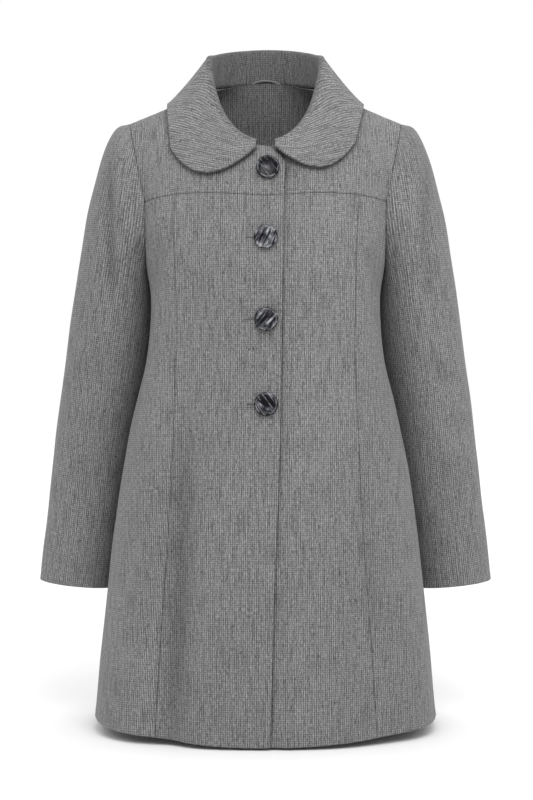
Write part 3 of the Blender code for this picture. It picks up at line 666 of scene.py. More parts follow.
@dataclass(frozen=True)
class CheckWool:
    """Fine black and off-white check wool, woven in threads a few millimetres apart."""

    name: str = "check_wool"
    pitch: float = 0.00272
    dark: Colour = (0.067, 0.067, 0.068)
    middle: Colour = (0.162, 0.162, 0.163)
    light: Colour = (0.335, 0.335, 0.332)
    fleck: Colour = (0.028, 0.028, 0.029)
    # How dark the painted shade makes the colour at its strongest
    painted_shade_dark: float = 0.38
    weft_share: float = 0.36
    tone: float = 1.0
    bump: float = 0.35
    bump_depth: float = 0.0006
    weft_closer: float = 1.03
    warp_wander: float = 1.5
    weft_wander: float = 1.7
    wander_scale: float = 1.6
    patch_scale: Pair = (110, 60)
    thread_scale: Pair = (520, 30)
    slub_scale: Pair = (620, 230)
    fibre_scale: Pair = (1300, 1000)
    fleck_scale: Pair = (430, 105)
    shade_scale: Pair = (9, 5)
    thread_dip: float = 0.25
    slub_depth: float = 0.34
    fibre_depth: float = 0.30
    fleck_share: float = 0.70
    shade_depth: float = 0.10

    def material(self) -> Material:
        """The cloth's finish: check, slubs, fibres, broad uneven tone, painted shade, roughness and thread
        bump.
        """
        made = NodeSheet(self.name)
        grain = made.uv(GRAIN_MAP)
        warp_scale = WAVE_TURN / self.pitch
        weft_scale = warp_scale * self.weft_closer
        warp = made.wave(grain, "X", warp_scale, self.warp_wander, self.wander_scale)
        weft = made.wave(grain, "Y", weft_scale, self.weft_wander, self.wander_scale)
        patch = made.streaks(grain, self.patch_scale, detail=2.0)
        share = made.ranged(patch, 0.36, 0.66, self.weft_share * 0.35, self.weft_share * 1.75)
        check = made.ranged(made.mix(share, warp, weft), 0.0, 1.0, 0.18, 0.82)
        thread = made.streaks(grain, self.thread_scale, detail=1.0, lift=5.1)
        slub = made.streaks(grain, self.slub_scale, detail=2.0)
        fibre = made.streaks(grain, self.fibre_scale, detail=3.0)
        uneven = (
            made.ranged(thread, 0.30, 0.55, -self.thread_dip, 0.05),
            made.ranged(slub, 0.25, 0.75, -self.slub_depth, self.slub_depth),
            made.ranged(fibre, 0.2, 0.8, -self.fibre_depth, self.fibre_depth),
        )
        for layer in uneven:
            check = made.math("ADD", check, layer)
        colour = made.ramp(check, ((0.05, self.dark), (0.50, self.middle), (0.97, self.light)))
        fleck = made.streaks(grain, self.fleck_scale, detail=1.0, lift=3.7)
        colour = made.tint(made.ranged(fleck, 0.67, 0.74, 0.0, self.fleck_share), colour, self.fleck)
        shade = made.streaks(grain, self.shade_scale, detail=3.0, lift=1.3)
        darkest, lightest = (1 - self.shade_depth) * self.tone, (1 + self.shade_depth) * self.tone
        bright = made.ranged(shade, 0.2, 0.8, darkest, lightest)
        # Painted shade: the mesh's shade attribute, broken up unevenly, darkens the colour to as little as
        # 0.38 of it, for the seams' grooves, creases and cloth under or against other pieces
        broken = made.ranged(shade, 0.3, 0.7, 0.8, 1.1)
        depth = made.math("MULTIPLY", made.attribute(PAINTED_SHADE_ATTRIBUTE), broken)
        seam = made.ranged(depth, 0.0, 1.0, 1.0, self.painted_shade_dark)
        made.link(made.brighten(colour, made.math("MULTIPLY", bright, seam)), "Base Color")
        made.link(made.ranged(fibre, 0.2, 0.8, 0.80, 0.98), "Roughness")
        made.bump(check, self.bump, self.bump_depth)
        made.set("Specular IOR Level", 0.18)
        made.set("Sheen Weight", 0.10)
        made.set("Sheen Roughness", 0.55)
        return made.material


@dataclass(frozen=True)
class LoopCloth:
    """The narrow dark twill of the hanger loop."""

    name: str = "loop_twill"
    dark: Colour = (0.060, 0.060, 0.063)
    light: Colour = (0.300, 0.300, 0.305)
    rib_pitch: float = 0.0009
    fibre_scale: Pair = (1800, 1800)

    def material(self) -> Material:
        """The loop's finish: slanted twill ribs with fibre bump."""
        made = NodeSheet(self.name)
        grain = made.uv(GRAIN_MAP)
        rib_scale = WAVE_TURN / self.rib_pitch
        twill = made.wave(grain, "DIAGONAL", rib_scale, distortion=0.8, detail_scale=0.6)
        fibre = made.streaks(grain, self.fibre_scale, detail=3.0)
        colour = made.ramp(twill, ((0.1, self.dark), (0.9, self.light)))
        made.link(made.brighten(colour, made.ranged(fibre, 0.2, 0.8, 0.75, 1.2)), "Base Color")
        made.link(made.ranged(fibre, 0.2, 0.8, 0.65, 0.9), "Roughness")
        made.bump(twill, 0.4, 0.0003)
        made.set("Specular IOR Level", 0.25)
        return made.material


@dataclass(frozen=True)
class StitchThread:
    """Dark twisted thread of the buttonholes."""

    name: str = "buttonhole_thread"
    dark: Colour = (0.030, 0.030, 0.033)
    light: Colour = (0.150, 0.150, 0.155)
    twist_scale: float = 900.0
    fibre_scale: Pair = (2500, 2500)

    def material(self) -> Material:
        """The thread's finish: twist along the stitches, with a slight silk gloss."""
        made = NodeSheet(self.name)
        grain = made.uv(GRAIN_MAP)
        twist = made.wave(grain, "DIAGONAL", self.twist_scale, distortion=0.6, detail_scale=0.5)
        fibre = made.streaks(grain, self.fibre_scale, detail=2.0)
        colour = made.ramp(twist, ((0.15, self.dark), (0.9, self.light)))
        made.link(made.brighten(colour, made.ranged(fibre, 0.2, 0.8, 0.8, 1.15)), "Base Color")
        made.link(made.ranged(fibre, 0.2, 0.8, 0.5, 0.75), "Roughness")
        made.bump(twist, 0.4, 0.0002)
        return made.material


@dataclass(frozen=True)
class MarbledHorn:
    """Polished dark horn with smoky slanting streaks and fine pale veins."""

    name: str
    streak_turn: float
    streak_shift: float
    smokiness: float
    ink: Colour = (0.004, 0.004, 0.006)
    smoke: Colour = (0.018, 0.019, 0.026)
    grey: Colour = (0.095, 0.096, 0.108)
    pale: Colour = (0.420, 0.420, 0.435)
    rim_at: float = 0.86
    rim_width: float = 0.09
    rim_pale_highlight_share: float = 0.55
    streak_scale: Pair = (3.4, 0.8)
    fine_scale: Pair = (9, 1.2)
    scratch_scale: Pair = (40, 4)
    cloud_scale: float = 1.3
    vein_scale: float = 0.75

    def material(self) -> Material:
        """The horn's finish: streaks, veins and a pale rim, partly paler horn and partly a painted
        highlight on its roll, under a clear polish, finely scratched.
        """
        made = NodeSheet(self.name)
        face = made.turned(made.uv(FACE_MAP), self.streak_turn, self.streak_shift)
        streak = made.streaks(face, self.streak_scale, detail=2.0)
        cloud = made.noise(face, self.cloud_scale, detail=2.0, lift=2.3)
        tone = made.math("ADD", streak, made.ranged(cloud, 0.3, 0.7, -0.10, 0.10))
        tone = made.math("ADD", tone, self.smokiness)
        stops = ((0.42, self.ink), (0.52, self.smoke), (0.60, self.grey), (0.74, self.pale))
        colour = made.ramp(tone, stops)
        fine = made.streaks(face, self.fine_scale, detail=3.0)
        band = made.wave(face, "X", self.vein_scale, distortion=3.4, detail_scale=1.3)
        broken = made.ranged(fine, 0.46, 0.62, 0.0, 0.7)
        vein = made.math("MULTIPLY", made.ranged(band, 0.955, 0.999, 0.0, 1.0), broken)
        # The pale rim ring is partly the horn's own colour and partly a painted highlight where the rim
        # rolls over
        ring = made.radius_band(self.rim_at, self.rim_width)
        rim = made.math("MULTIPLY", ring, made.ranged(cloud, 0.40, 0.62, 0.0, self.rim_pale_highlight_share))
        made.link(made.tint(made.math("MAXIMUM", vein, rim), colour, self.pale), "Base Color")
        scratch = made.streaks(face, self.scratch_scale, detail=2.0)
        made.link(made.ranged(scratch, 0.3, 0.8, 0.16, 0.34), "Roughness")
        made.bump(scratch, 0.06, 0.0002)
        made.set("Specular IOR Level", 0.14)
        made.set("Coat Weight", 0.06)
        made.set("Coat Roughness", 0.08)
        return made.material


@dataclass(frozen=True)
class StudioFloor:
    """Matt pale paper under the coat."""

    name: str = "pale_floor"
    low: Colour = (0.92, 0.92, 0.92)
    high: Colour = (0.94, 0.94, 0.94)

    def material(self) -> Material:
        """The floor's finish: very slight paper mottle."""
        made = NodeSheet(self.name)
        mottle = made.noise(made.place(), 6.0, detail=2.0)
        made.link(made.ramp(mottle, ((0.3, self.low), (0.7, self.high))), "Base Color")
        made.link(made.ranged(mottle, 0.2, 0.8, 0.85, 0.95), "Roughness")
        made.set("Specular IOR Level", 0.1)
        return made.material


class NodeSheet:
    """A material's node tree, with short methods for the nodes that the finishes need."""

    sideways_shift = 0.7

    def __init__(self, name: str) -> None:
        """A new material with a Principled shader."""
        self.material = bpy.data.materials.new(name)
        self.material.use_nodes = True
        self.tree = self.material.node_tree
        self.shader = self.tree.nodes["Principled BSDF"]

    def add(self, kind: str, **values: object) -> bpy.types.Node:
        """A new node with its properties set."""
        node = self.tree.nodes.new(kind)
        for name, value in values.items():
            setattr(node, name, value)
        return node

    def join(self, value: object, socket: Socket) -> None:
        """A link into a socket, or a plain number set on it."""
        if isinstance(value, Socket):
            self.tree.links.new(value, socket)
        else:
            socket.default_value = value

    def link(self, value: Socket, name: str) -> None:
        """A link into the shader."""
        self.tree.links.new(value, self.shader.inputs[name])

    def set(self, name: str, value: float) -> None:
        """A plain number on the shader."""
        self.shader.inputs[name].default_value = value

    def uv(self, name: str) -> Socket:
        """The cloth's or button's own flat coordinates."""
        return self.add("ShaderNodeUVMap", uv_map=name).outputs["UV"]

    def attribute(self, name: str) -> Socket:
        """A number kept on the mesh."""
        return self.add("ShaderNodeAttribute", attribute_name=name).outputs["Fac"]

    def place(self) -> Socket:
        """Coordinates in the object's own space."""
        return self.add("ShaderNodeTexCoord").outputs["Object"]

    def streaks(self, vector: Socket, scales: Pair, detail: float, lift: float = 0.0) -> Socket:
        """Cloudy noise with its own scale each way."""
        node = self.add("ShaderNodeMapping")
        self.join(vector, node.inputs["Vector"])
        node.inputs["Scale"].default_value = (*scales, 1.0)
        return self.noise(node.outputs["Vector"], 1.0, detail, lift)

    def turned(self, vector: Socket, angle: float, shift: float) -> Socket:
        """Coordinates turned in their plane and moved along."""
        node = self.add("ShaderNodeMapping")
        self.join(vector, node.inputs["Vector"])
        node.inputs["Rotation"].default_value = (0.0, 0.0, angle)
        node.inputs["Location"].default_value = (shift, shift * self.sideways_shift, shift)
        return node.outputs["Vector"]

    def wave(
        self, vector: Socket, way: str, scale: float, distortion: float, detail_scale: float
    ) -> Socket:
        """Soft parallel bands, a little uneven.

        Args:
            vector: coordinates.
            way: the axis that the bands cross.
            scale: how close they are.
            distortion: how far they wander.
            detail_scale: how finely they wander.

        Returns:
            The bands, 0 to 1.
        """
        node = self.add("ShaderNodeTexWave", wave_type="BANDS", bands_direction=way, wave_profile="SIN")
        self.join(vector, node.inputs["Vector"])
        node.inputs["Scale"].default_value = scale
        node.inputs["Distortion"].default_value = distortion
        node.inputs["Detail"].default_value = WAVE_DETAIL
        node.inputs["Detail Scale"].default_value = detail_scale
        return node.outputs["Fac"]

    def noise(self, vector: Socket, scale: float, detail: float, lift: float = 0.0) -> Socket:
        """Cloudy noise, 0 to 1; lift moves to another layer of it."""
        node = self.add("ShaderNodeTexNoise", noise_dimensions="4D")
        self.join(vector, node.inputs["Vector"])
        node.inputs["W"].default_value = lift
        node.inputs["Scale"].default_value = scale
        node.inputs["Detail"].default_value = detail
        return node.outputs["Fac"]

    def ranged(self, value: Socket, low: float, high: float, to_low: float, to_high: float) -> Socket:
        """A value moved from one range to another, kept inside it."""
        node = self.add("ShaderNodeMapRange", clamp=True)
        for name, number in zip(RANGE_SOCKETS, (low, high, to_low, to_high)):
            node.inputs[name].default_value = number
        self.join(value, node.inputs["Value"])
        return node.outputs["Result"]

    def math(self, operation: str, first: object, second: object) -> Socket:
        """Two values put together by an operation, such as a sum."""
        node = self.add("ShaderNodeMath", operation=operation)
        self.join(first, node.inputs[0])
        self.join(second, node.inputs[1])
        return node.outputs["Value"]

    def mix(self, share: Socket, first: object, second: object) -> Socket:
        """Two values mixed by a share."""
        node = self.add("ShaderNodeMix", data_type="FLOAT")
        self.join(share, node.inputs[MIX_SHARE])
        for place, value in zip(MIX_NUMBERS, (first, second)):
            self.join(value, node.inputs[place])
        return node.outputs[MIX_NUMBER_OUT]

    def tint(self, share: Socket, colour: Socket, other: Colour) -> Socket:
        """A colour mixed towards a plain one."""
        node = self.add("ShaderNodeMix", data_type="RGBA")
        self.join(share, node.inputs[MIX_SHARE])
        for place, value in zip(MIX_COLOURS, (colour, (*other, 1.0))):
            self.join(value, node.inputs[place])
        return node.outputs[MIX_COLOUR_OUT]

    def brighten(self, colour: Socket, factor: Socket) -> Socket:
        """A colour made lighter or darker."""
        node = self.add("ShaderNodeVectorMath", operation="SCALE")
        self.join(colour, node.inputs[0])
        self.join(factor, node.inputs["Scale"])
        return node.outputs["Vector"]

    def radius_band(self, middle: float, width: float) -> Socket:
        """A ring on a button's face, 1 at its middle radius and 0 a width away."""
        length = self.add("ShaderNodeVectorMath", operation="LENGTH")
        self.join(self.uv(FACE_MAP), length.inputs[0])
        away = self.math("ABSOLUTE", self.math("SUBTRACT", length.outputs["Value"], middle), 0.0)
        return self.ranged(away, 0.0, width, 1.0, 0.0)

    def ramp(self, value: Socket, stops: tuple[tuple[float, Colour], ...]) -> Socket:
        """A colour for each value, between stops."""
        node = self.add("ShaderNodeValToRGB")
        stop_list = node.color_ramp.elements
        while len(stop_list) < len(stops):
            stop_list.new(0.5)
        for made, (place, colour) in zip(stop_list, stops):
            made.position = place
            made.color = (*colour, 1.0)
        self.join(value, node.inputs["Fac"])
        return node.outputs["Color"]

    def bump(self, height: Socket, strength: float, distance: float) -> None:
        """A bump on the shader's normal."""
        node = self.add("ShaderNodeBump")
        node.inputs["Strength"].default_value = strength
        node.inputs["Distance"].default_value = distance
        self.join(height, node.inputs["Height"])
        self.link(node.outputs["Normal"], "Normal")


@dataclass(frozen=True)
class Drape:
    """The cloth's own unevenness: listed creases, a slight wave and puckers at the seams."""

    wave_depth: float = 0.0005
    pucker_depth: float = 0.00028
    pucker_reach: float = 0.009
    end_fade: float = 0.3
    shade_depth: float = 0.0090
    fast_share: float = 0.45
    fine_share: float = 0.5
    facing_from: float = -0.1
    facing_span: float = 0.5
    creases: tuple[CreaseRow, ...] = CREASES

    def crease(self, points: Array, normals: Array) -> Array:
        """How far the creases move points of the coat's front out or in."""
        total = np.zeros(len(points))
        flat = points[:, [0, 2]]
        facing = ease((-normals[:, 1] - self.facing_from) / self.facing_span)
        for row in self.creases:
            crease = dict(zip(CREASE_COLUMNS, row))
            route = np.array(crease["points"], float)
            best = np.full(len(points), np.inf)
            along = np.zeros(len(points))
            last = len(route) - 1
            for k, (a, b) in enumerate(zip(route, route[1:])):
                t = np.clip(((flat - a) @ (b - a)) / ((b - a) @ (b - a)), 0, 1)
                away = np.linalg.norm(flat - a - t[:, None] * (b - a), axis=1)
                closer = away < best
                best = np.where(closer, away, best)
                along = np.where(closer, (k + t) / last, along)
            fade = ease(along / self.end_fade) * ease((1 - along) / self.end_fade)
            total += crease["depth"] * np.exp(-((best / crease["width"]) ** 2)) * fade
        return total * facing

    def crease_shade(self, points: Array, normals: Array) -> Array:
        """Shadow held in the troughs, 0 to 1."""
        return np.clip(-self.crease(points, normals) / self.shade_depth, 0, 1)

    def wave(self, points: Array) -> Array:
        """A slight wave of the whole cloth, the same for pieces that meet."""
        fast = self.fast_share * ripple(points, FAST_WAVE)
        return self.wave_depth * (ripple(points, SLOW_WAVE) + fast)

    def pucker(self, points: Array, from_edge: Array) -> Array:
        """Small uneven ripples where the cloth is sewn."""
        height = ripple(points, BROAD_PUCKER) + self.fine_share * ripple(points, FINE_PUCKER)
        return self.pucker_depth * height * np.exp(-((from_edge / self.pucker_reach) ** 2))

    def lift(self, points: Array, normals: Array, from_edge: Array) -> Array:
        """All of it together, along the way out."""
        return self.crease(points, normals) + self.wave(points) + self.pucker(points, from_edge)


@dataclass
class Patch:
    """Part of a cloth surface as a grid: points, ways out and places on the flat cloth."""

    points: Array
    normals: Array
    grain: Array
    turned_up: tuple[Edge, ...] = ()
    shade: Array | None = None

    def shadow(self) -> Array:
        """How deep each point lies in a fold or under another piece, 0 to 1."""
        return np.zeros(self.points.shape[:2]) if self.shade is None else self.shade

    def free(self) -> Array:
        """Which points lie on a turned-up edge."""
        mask = np.zeros(self.points.shape[:2], bool)
        for edge in self.turned_up:
            mask[edge.value] = True
        return mask

    def quads(self) -> Array:
        """The grid's faces, as indices into its points."""
        rows, columns = self.points.shape[:2]
        index = np.arange(rows * columns).reshape(rows, columns)
        corners = (index[:-1, :-1], index[:-1, 1:], index[1:, 1:], index[1:, :-1])
        return np.stack([c.ravel() for c in corners], axis=1)


@dataclass(frozen=True)
class Cut:
    """The flat piece of cloth that shows, before it was sewn."""

    width: float
    length: float
    area: float
    held: Held = Held.HUNG


@dataclass
class ClothShell:
    """A piece of cloth with a thickness, its edges turned over and closed."""

    name: str
    patches: list[Patch]
    finish: Material
    slot: str
    cut: Cut
    rests_on: tuple[str, ...] = ()
    thickness: float = 0.0022
    edge_roll: float = 0.0013
    edge_round: float = 0.0007
    seam_width: float = 0.0009
    seam_shade: float = 0.6
    edge_beads: int = 5
    drape: Drape | None = field(default_factory=Drape)

    def surface(self) -> tuple[Array, Array, Array, Array, Array, Array]:
        """The patches as one welded surface.

        Returns:
            Points, ways out, flat places, which points are on free edges, shadows and faces.
        """
        points = np.concatenate([p.points.reshape(-1, 3) for p in self.patches])
        normals = np.concatenate([p.normals.reshape(-1, 3) for p in self.patches])
        grain = np.concatenate([p.grain.reshape(-1, 2) for p in self.patches])
        free = np.concatenate([p.free().ravel() for p in self.patches])
        shadow = np.concatenate([p.shadow().ravel() for p in self.patches])
        starts = np.cumsum([0] + [p.points[..., 0].size for p in self.patches])
        quads = np.concatenate([p.quads() + start for p, start in zip(self.patches, starts)])
        _, first, place = np.unique(np.round(points, 6), axis=0, return_index=True, return_inverse=True)
        faces = place.reshape(-1)[quads]
        return points[first], unit(normals[first]), grain[first], free[first], shadow[first], faces

    def border(self, quads: Array) -> Array:
        """The surface's edges that only one face has, in that face's direction."""
        pairs = np.stack([quads, np.roll(quads, -1, axis=1)], axis=-1).reshape(-1, 2)
        ends = np.sort(pairs, axis=1)
        _, place, count = np.unique(ends, axis=0, return_inverse=True, return_counts=True)
        return pairs[count[place.reshape(-1)] == 1]

    def edge_distance(self, points: Array, border: Array) -> Array:
        """How far each point is from the cloth's edge."""
        ends = points[border]
        shares = np.linspace(0, 1, self.edge_beads)[None, :, None]
        beads = (ends[:, :1] * (1 - shares) + ends[:, 1:] * shares).reshape(-1, 3)
        tree = KDTree(len(beads))
        for i, bead in enumerate(beads):
            tree.insert(bead, i)
        tree.balance()
        return np.array([tree.find(p)[2] for p in points])

    def build(self) -> Object:
        """The finished piece, dressed, replacing its solid and riding on the coat's body."""
        points, normals, grain, free, shadow, quads = self.surface()
        corner, after, _, before = (points[quads[:, k]] for k in range(4))
        side = np.cross(after - corner, before - corner)
        turned = np.sum(side * normals[quads[:, 0]], axis=1).sum() < 0
        quads = quads[:, ::-1] if turned else quads
        border = self.border(quads)
        away = self.edge_distance(points, border)
        sewn = self.edge_distance(points, border[~free[border].all(axis=1)])
        # Painted shade, 0 to 1: dark along the sewn seams' grooves and wherever the patches lie in shadow,
        # then in the creases' troughs below
        shade = np.maximum(np.exp(-((sewn / self.seam_width) ** 2)) * self.seam_shade, shadow)
        if self.drape:
            shade = np.maximum(shade, self.drape.crease_shade(points, normals))
            points = points + normals * self.drape.lift(points, normals, away)[:, None]
        bend = 1 - np.clip(away / self.edge_roll, 0, 1)
        sink = (self.edge_round * (1 - np.sqrt(1 - bend**2)))[:, None]
        count = len(points)
        verts = np.concatenate([points - normals * sink, points - normals * self.thickness])
        walls = np.concatenate([border[:, ::-1], border + count], axis=1)
        faces = np.concatenate([quads, quads[:, ::-1] + count, walls])
        piece = self.mesh_object(verts, faces, np.concatenate([grain, grain]))
        # The painted shade is kept on the mesh, and the finish darkens the colour by it
        kept = piece.data.attributes.new(PAINTED_SHADE_ATTRIBUTE, "FLOAT", "POINT")
        kept.data.foreach_set("value", np.concatenate([shade, shade]).astype(np.float32))
        piece.data.materials.append(self.finish)
        return dress(piece, self.name, self.slot, self.cut, self.rests_on)

    def mesh_object(self, verts: Array, faces: Array, grain: Array) -> Object:
        """A smooth mesh object with its grain as a flat map."""
        mesh = bpy.data.meshes.new(self.name)
        mesh.from_pydata(verts.tolist(), [], faces.tolist())
        keep_map(mesh, GRAIN_MAP, grain)
        mesh.shade_smooth()
        mesh.update()
        # The solid holds the plain name, so the piece that stands for it says what it is
        return in_scene(f"{self.name}_cloth", mesh)


def keep_map(mesh: bpy.types.Mesh, name: str, places: Array) -> None:
    """Keeps each vertex's place on a flat map.

    Args:
        mesh: the mesh.
        name: the map's name.
        places: two numbers for each vertex.
    """
    flat = mesh.uv_layers.new(name=name)
    loops = np.zeros(len(mesh.loops), np.int32)
    mesh.loops.foreach_get("vertex_index", loops)
    flat.data.foreach_set("uv", places[loops].astype(np.float32).ravel())


def in_scene(name: str, data: bpy.types.ID) -> Object:
    """A new object with its mesh, lamp or lens, linked into the scene."""
    made = bpy.data.objects.new(name, data)
    bpy.context.scene.collection.objects.link(made)
    return made


def dress(
    piece: Object, node: str | None, slot: str, cut: Cut | None = None, rests_on: tuple[str, ...] = ()
) -> Object:
    """Puts a piece on the coat's body and hides the solid that it stands for.

    Args:
        piece: the new piece.
        node: the solid that it stands for, if any.
        slot: not used.
        cut: its flat size, if it is a sheet of cloth.
        rests_on: what that sheet lies on or hangs from.

    Returns:
        The piece.
    """
    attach(piece, BODY)
    if node:
        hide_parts(node)
    if cut:
        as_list(rests_on)
    return piece


@dataclass
class FrontHalf:
    """One half of the front: yoke, centre panel and side panel."""

    form: BodyForm
    side: Side
    finish: Material
    collar_edge: Array
    seam_gap: float = 0.00004
    quarter_length: float = 0.2
    cloth: float = 0.0024
    layer_gap: float = 0.0012
    tuck_near: float = 0.002
    tuck_far: float = 0.024
    tab_corner: float = 0.020
    step: float = 0.0036
    panel_height: float = 0.68
    yoke_height: float = 0.085
    yoke_width: float = 0.13
    armhole_width: float = 0.09
    tab_drop: float = 0.030
    tab_power: float = 1.5
    side_grain_tilt: float = 0.035
    shadow_depth: float = 0.95
    shadow_reach: float = 0.0016
    neck_shadow: float = 0.0060
    neck_shadow_z: float = -0.160
    neck_shadow_fade: float = 0.018
    collar_shadow_depth: float = 0.80
    collar_shadow_reach: float = 0.0032
    centre_width: float = 0.12
    right_past: float = 0.024
    left_past: float = 0.03
    edge_start: float = 0.06
    side_width: float = 0.06
    side_end: float = 0.97
    tab_start: float = 0.04
    yoke_seam: float = 0.75
    panel_seam: float = 0.6

    def girth(self, zone: Array, share: Array, z: Array) -> Array:
        """Girth of the half's columns at heights.

        Args:
            zone: each column's stretch of the width.
            share: each column's share of that stretch.
            z: heights, rows by columns.

        Returns:
            Girths, rows by columns.
        """
        form, gap = self.form, self.seam_gap / 2 / self.quarter_length
        seam = form.princess_girth(z)
        corner = (form.front_corner - form.princess_top) / (1 - form.princess_top)
        under_arm = 1 - (1 - corner) * np.cos(share * math.pi / 2)
        along = np.where(zone == Zone.SIDE.value, corner * share, under_arm)
        outer = seam + gap + (1 - seam - 2 * gap) * along
        centre = (seam - gap) * share
        edge = -form.edge_girth(self.side, z) * share
        inward = np.where(zone == Zone.CENTRE.value, centre, outer)
        return np.where(zone == Zone.EDGE.value, edge, inward)

    def top(self, zone: Array, share: Array) -> Array:
        """Height of each column's top, on the yoke seam or the armhole."""
        form = self.form
        z = np.full(share.shape, float(form.yoke_z(np.array(0.0))))
        for _ in range(form.settle_rounds):
            z = form.yoke_z(form.point(self.side.value, self.girth(zone, share, z), z)[..., 0])
        corner = float(form.yoke_z(np.array(form.front_corner_x)))
        low = corner - (corner - form.underarm_z) * np.sin(share * math.pi / 2)
        return np.where(zone == Zone.ARMHOLE.value, low, z) - self.seam_gap / 2

    def tuck(self, points: Array) -> Array:
        """How far the left front is moved in where the right front lies over it."""
        if self.side is Side.RIGHT:
            return np.zeros(points.shape[:-1])
        past = points[..., 0] - self.form.edge_x(points[..., 2]) - self.tuck_near
        return (self.cloth + self.layer_gap) * (1 - ease(past / (self.tuck_far - self.tuck_near)))

    def edge_shadow(self, points: Array) -> Array:
        """Shadow on the left front beside the right front's edge, wider near the neck."""
        if self.side is Side.RIGHT:
            return np.zeros(points.shape[:-1])
        below_neck = np.clip((self.form.neck_front[1] - points[..., 2]) / self.tab_drop, 0, 1)
        tab = (1 - (1 - below_neck) ** self.tab_power) ** (1 / self.tab_power)
        past = np.clip(points[..., 0] - self.form.edge_x(points[..., 2]) * tab, 0, None)
        near_neck = ease((points[..., 2] - self.neck_shadow_z) / self.neck_shadow_fade)
        reach = self.shadow_reach + self.neck_shadow * near_neck
        return self.shadow_depth * np.exp(-((past / reach) ** 2))

    def collar_shadow(self, points: Array) -> Array:
        """Shadow on the yoke under the collar's edge, as seen from the front."""
        flat, edge = points[..., None, [0, 2]], self.collar_edge[:, [0, 2]]
        away = np.linalg.norm(flat - edge, axis=-1).min(axis=-1)
        return self.collar_shadow_depth * np.exp(-((away / self.collar_shadow_reach) ** 2))

    def panel(
        self, stretches: list[tuple[Zone, Array]], tilt: float, turned_up: tuple[Edge, ...]
    ) -> Patch:
        """A panel below the yoke.

        Args:
            stretches: zones with their shares, from the edge outwards.
            tilt: how far the cloth's grain leans, in radians.
            turned_up: the edges that aren't sewn to another piece.

        Returns:
            The panel's outside.
        """
        zone = np.concatenate([np.full(len(shares), z.value) for z, shares in stretches])
        share = np.concatenate([shares for _, shares in stretches])
        low = self.form.hem_z(self.girth(zone, share, np.full(share.shape, self.form.hem_front_z)))
        heights = graded(self.panel_height, self.step)[:, None]
        z = low + (self.top(zone, share) - low) * heights
        girth = self.girth(zone, share, z)
        points = self.form.point(self.side.value, girth, z)
        normals = self.form.normal(self.side.value, girth, z)
        points[..., 1] += self.tuck(points)
        grain = leaned(self.form.grain(self.side.value, girth, z), tilt * self.side.value)
        return Patch(points, normals, grain, turned_up, self.edge_shadow(points))

    def centre(self) -> Patch:
        """The centre front, from its edge to the princess seam."""
        past = self.right_past if self.side is Side.RIGHT else self.left_past
        edge = 1 - graded(past, self.step)
        centre = graded(self.centre_width, self.step)
        stretches = [(Zone.EDGE, edge[edge > self.edge_start]), (Zone.CENTRE, centre)]
        return self.panel(stretches, 0.0, (Edge.FIRST_ROW, Edge.FIRST_COLUMN))

    def outer(self) -> Patch:
        """The side front, from the princess seam to the side seam."""
        side = graded(self.side_width, self.step)
        arm = graded(self.armhole_width, self.step)
        stretches = [(Zone.SIDE, side[side < self.side_end]), (Zone.ARMHOLE, arm)]
        return self.panel(stretches, self.side_grain_tilt, (Edge.FIRST_ROW,))

    def yoke(self) -> Patch:
        """The yoke across the upper front, from the neck to the armhole."""
        form = self.form
        down = graded(self.yoke_height, self.step)[::-1, None]
        lift = self.seam_gap / 2 * ease((down - 0.5) * 2)
        low_ribs = form.corner_rib * graded(self.yoke_width, self.step)
        high_ribs = form.corner_rib + (1 - form.corner_rib) * graded(self.armhole_width, self.step)[1:]
        ribs = np.concatenate([low_ribs, high_ribs])
        points = form.rib(ribs, False, np.repeat(down, len(ribs), axis=1))
        normals = form.rib_normal(ribs, False, np.repeat(down, len(ribs), axis=1))
        points[:, -1, 1] -= self.seam_gap / 2
        tab_points, tab_normals = self.tab(down)
        points = np.concatenate([tab_points, points], axis=1)
        normals = np.concatenate([tab_normals, normals], axis=1)
        points[..., 2] += lift
        grain = form.high_grain(points, False)
        points[..., 1] += self.tuck(points)
        flip = np.array([self.side.value, 1, 1])
        free = (Edge.FIRST_COLUMN, Edge.LAST_ROW)
        shade = np.maximum(self.edge_shadow(points), self.collar_shadow(points * flip))
        return Patch(points * flip, normals * flip, grain * flip[:2], free, shade)

    def tab(self, down: Array) -> tuple[Array, Array]:
        """The yoke's end past the centre front, with its round upper corner.

        Args:
            down: the yoke's rows, 1 at the seam and 0 at the neck.

        Returns:
            Points and ways out, as on the left half.
        """
        form = self.form
        reach = float(form.edge_x(np.array(form.neck_front[1])))
        reach = reach if self.side is Side.RIGHT else form.overlap - reach
        share = 1 - graded(reach, self.step)
        share = share[share > self.tab_start]
        if self.side is Side.RIGHT:
            drop = self.tab_drop * (1 - (1 - share**self.tab_power) ** (1 / self.tab_power))
        else:
            past = np.clip(reach * share - (reach - self.tab_corner), 0, None)
            drop = self.tab_corner - np.sqrt(self.tab_corner**2 - past**2)
        middle = np.zeros(len(share))
        start = form.rib_share(middle, False, drop[None, :])
        t = start + (1 - start) * down
        points = form.rib(middle, False, t)
        low = float(form.yoke_z(np.array(0.0)))
        zone = np.full(len(share), Zone.EDGE.value)
        lows = np.full(len(share), low)
        seam = form.point(1, self.girth(zone, share, lows), lows)
        centre = form.point(1, np.zeros(1), np.array([low]))[0]
        points[..., 0] = -reach * share + (seam[:, 0] + reach * share) * down
        points[..., 1] += (seam[:, 1] - centre[1]) * down
        points[..., 2] += (form.yoke_z(seam[:, 0]) - low) * down
        normals = form.rib_normal(middle, False, np.repeat(down, len(share), axis=1))
        return points, normals

    def centre_cut(self) -> Cut:
        """The centre front's flat size: the left half reaches further under the right."""
        if self.side is Side.RIGHT:
            return Cut(width=0.17, length=0.69, area=0.0988)
        return Cut(width=0.185, length=0.69, area=0.1075)

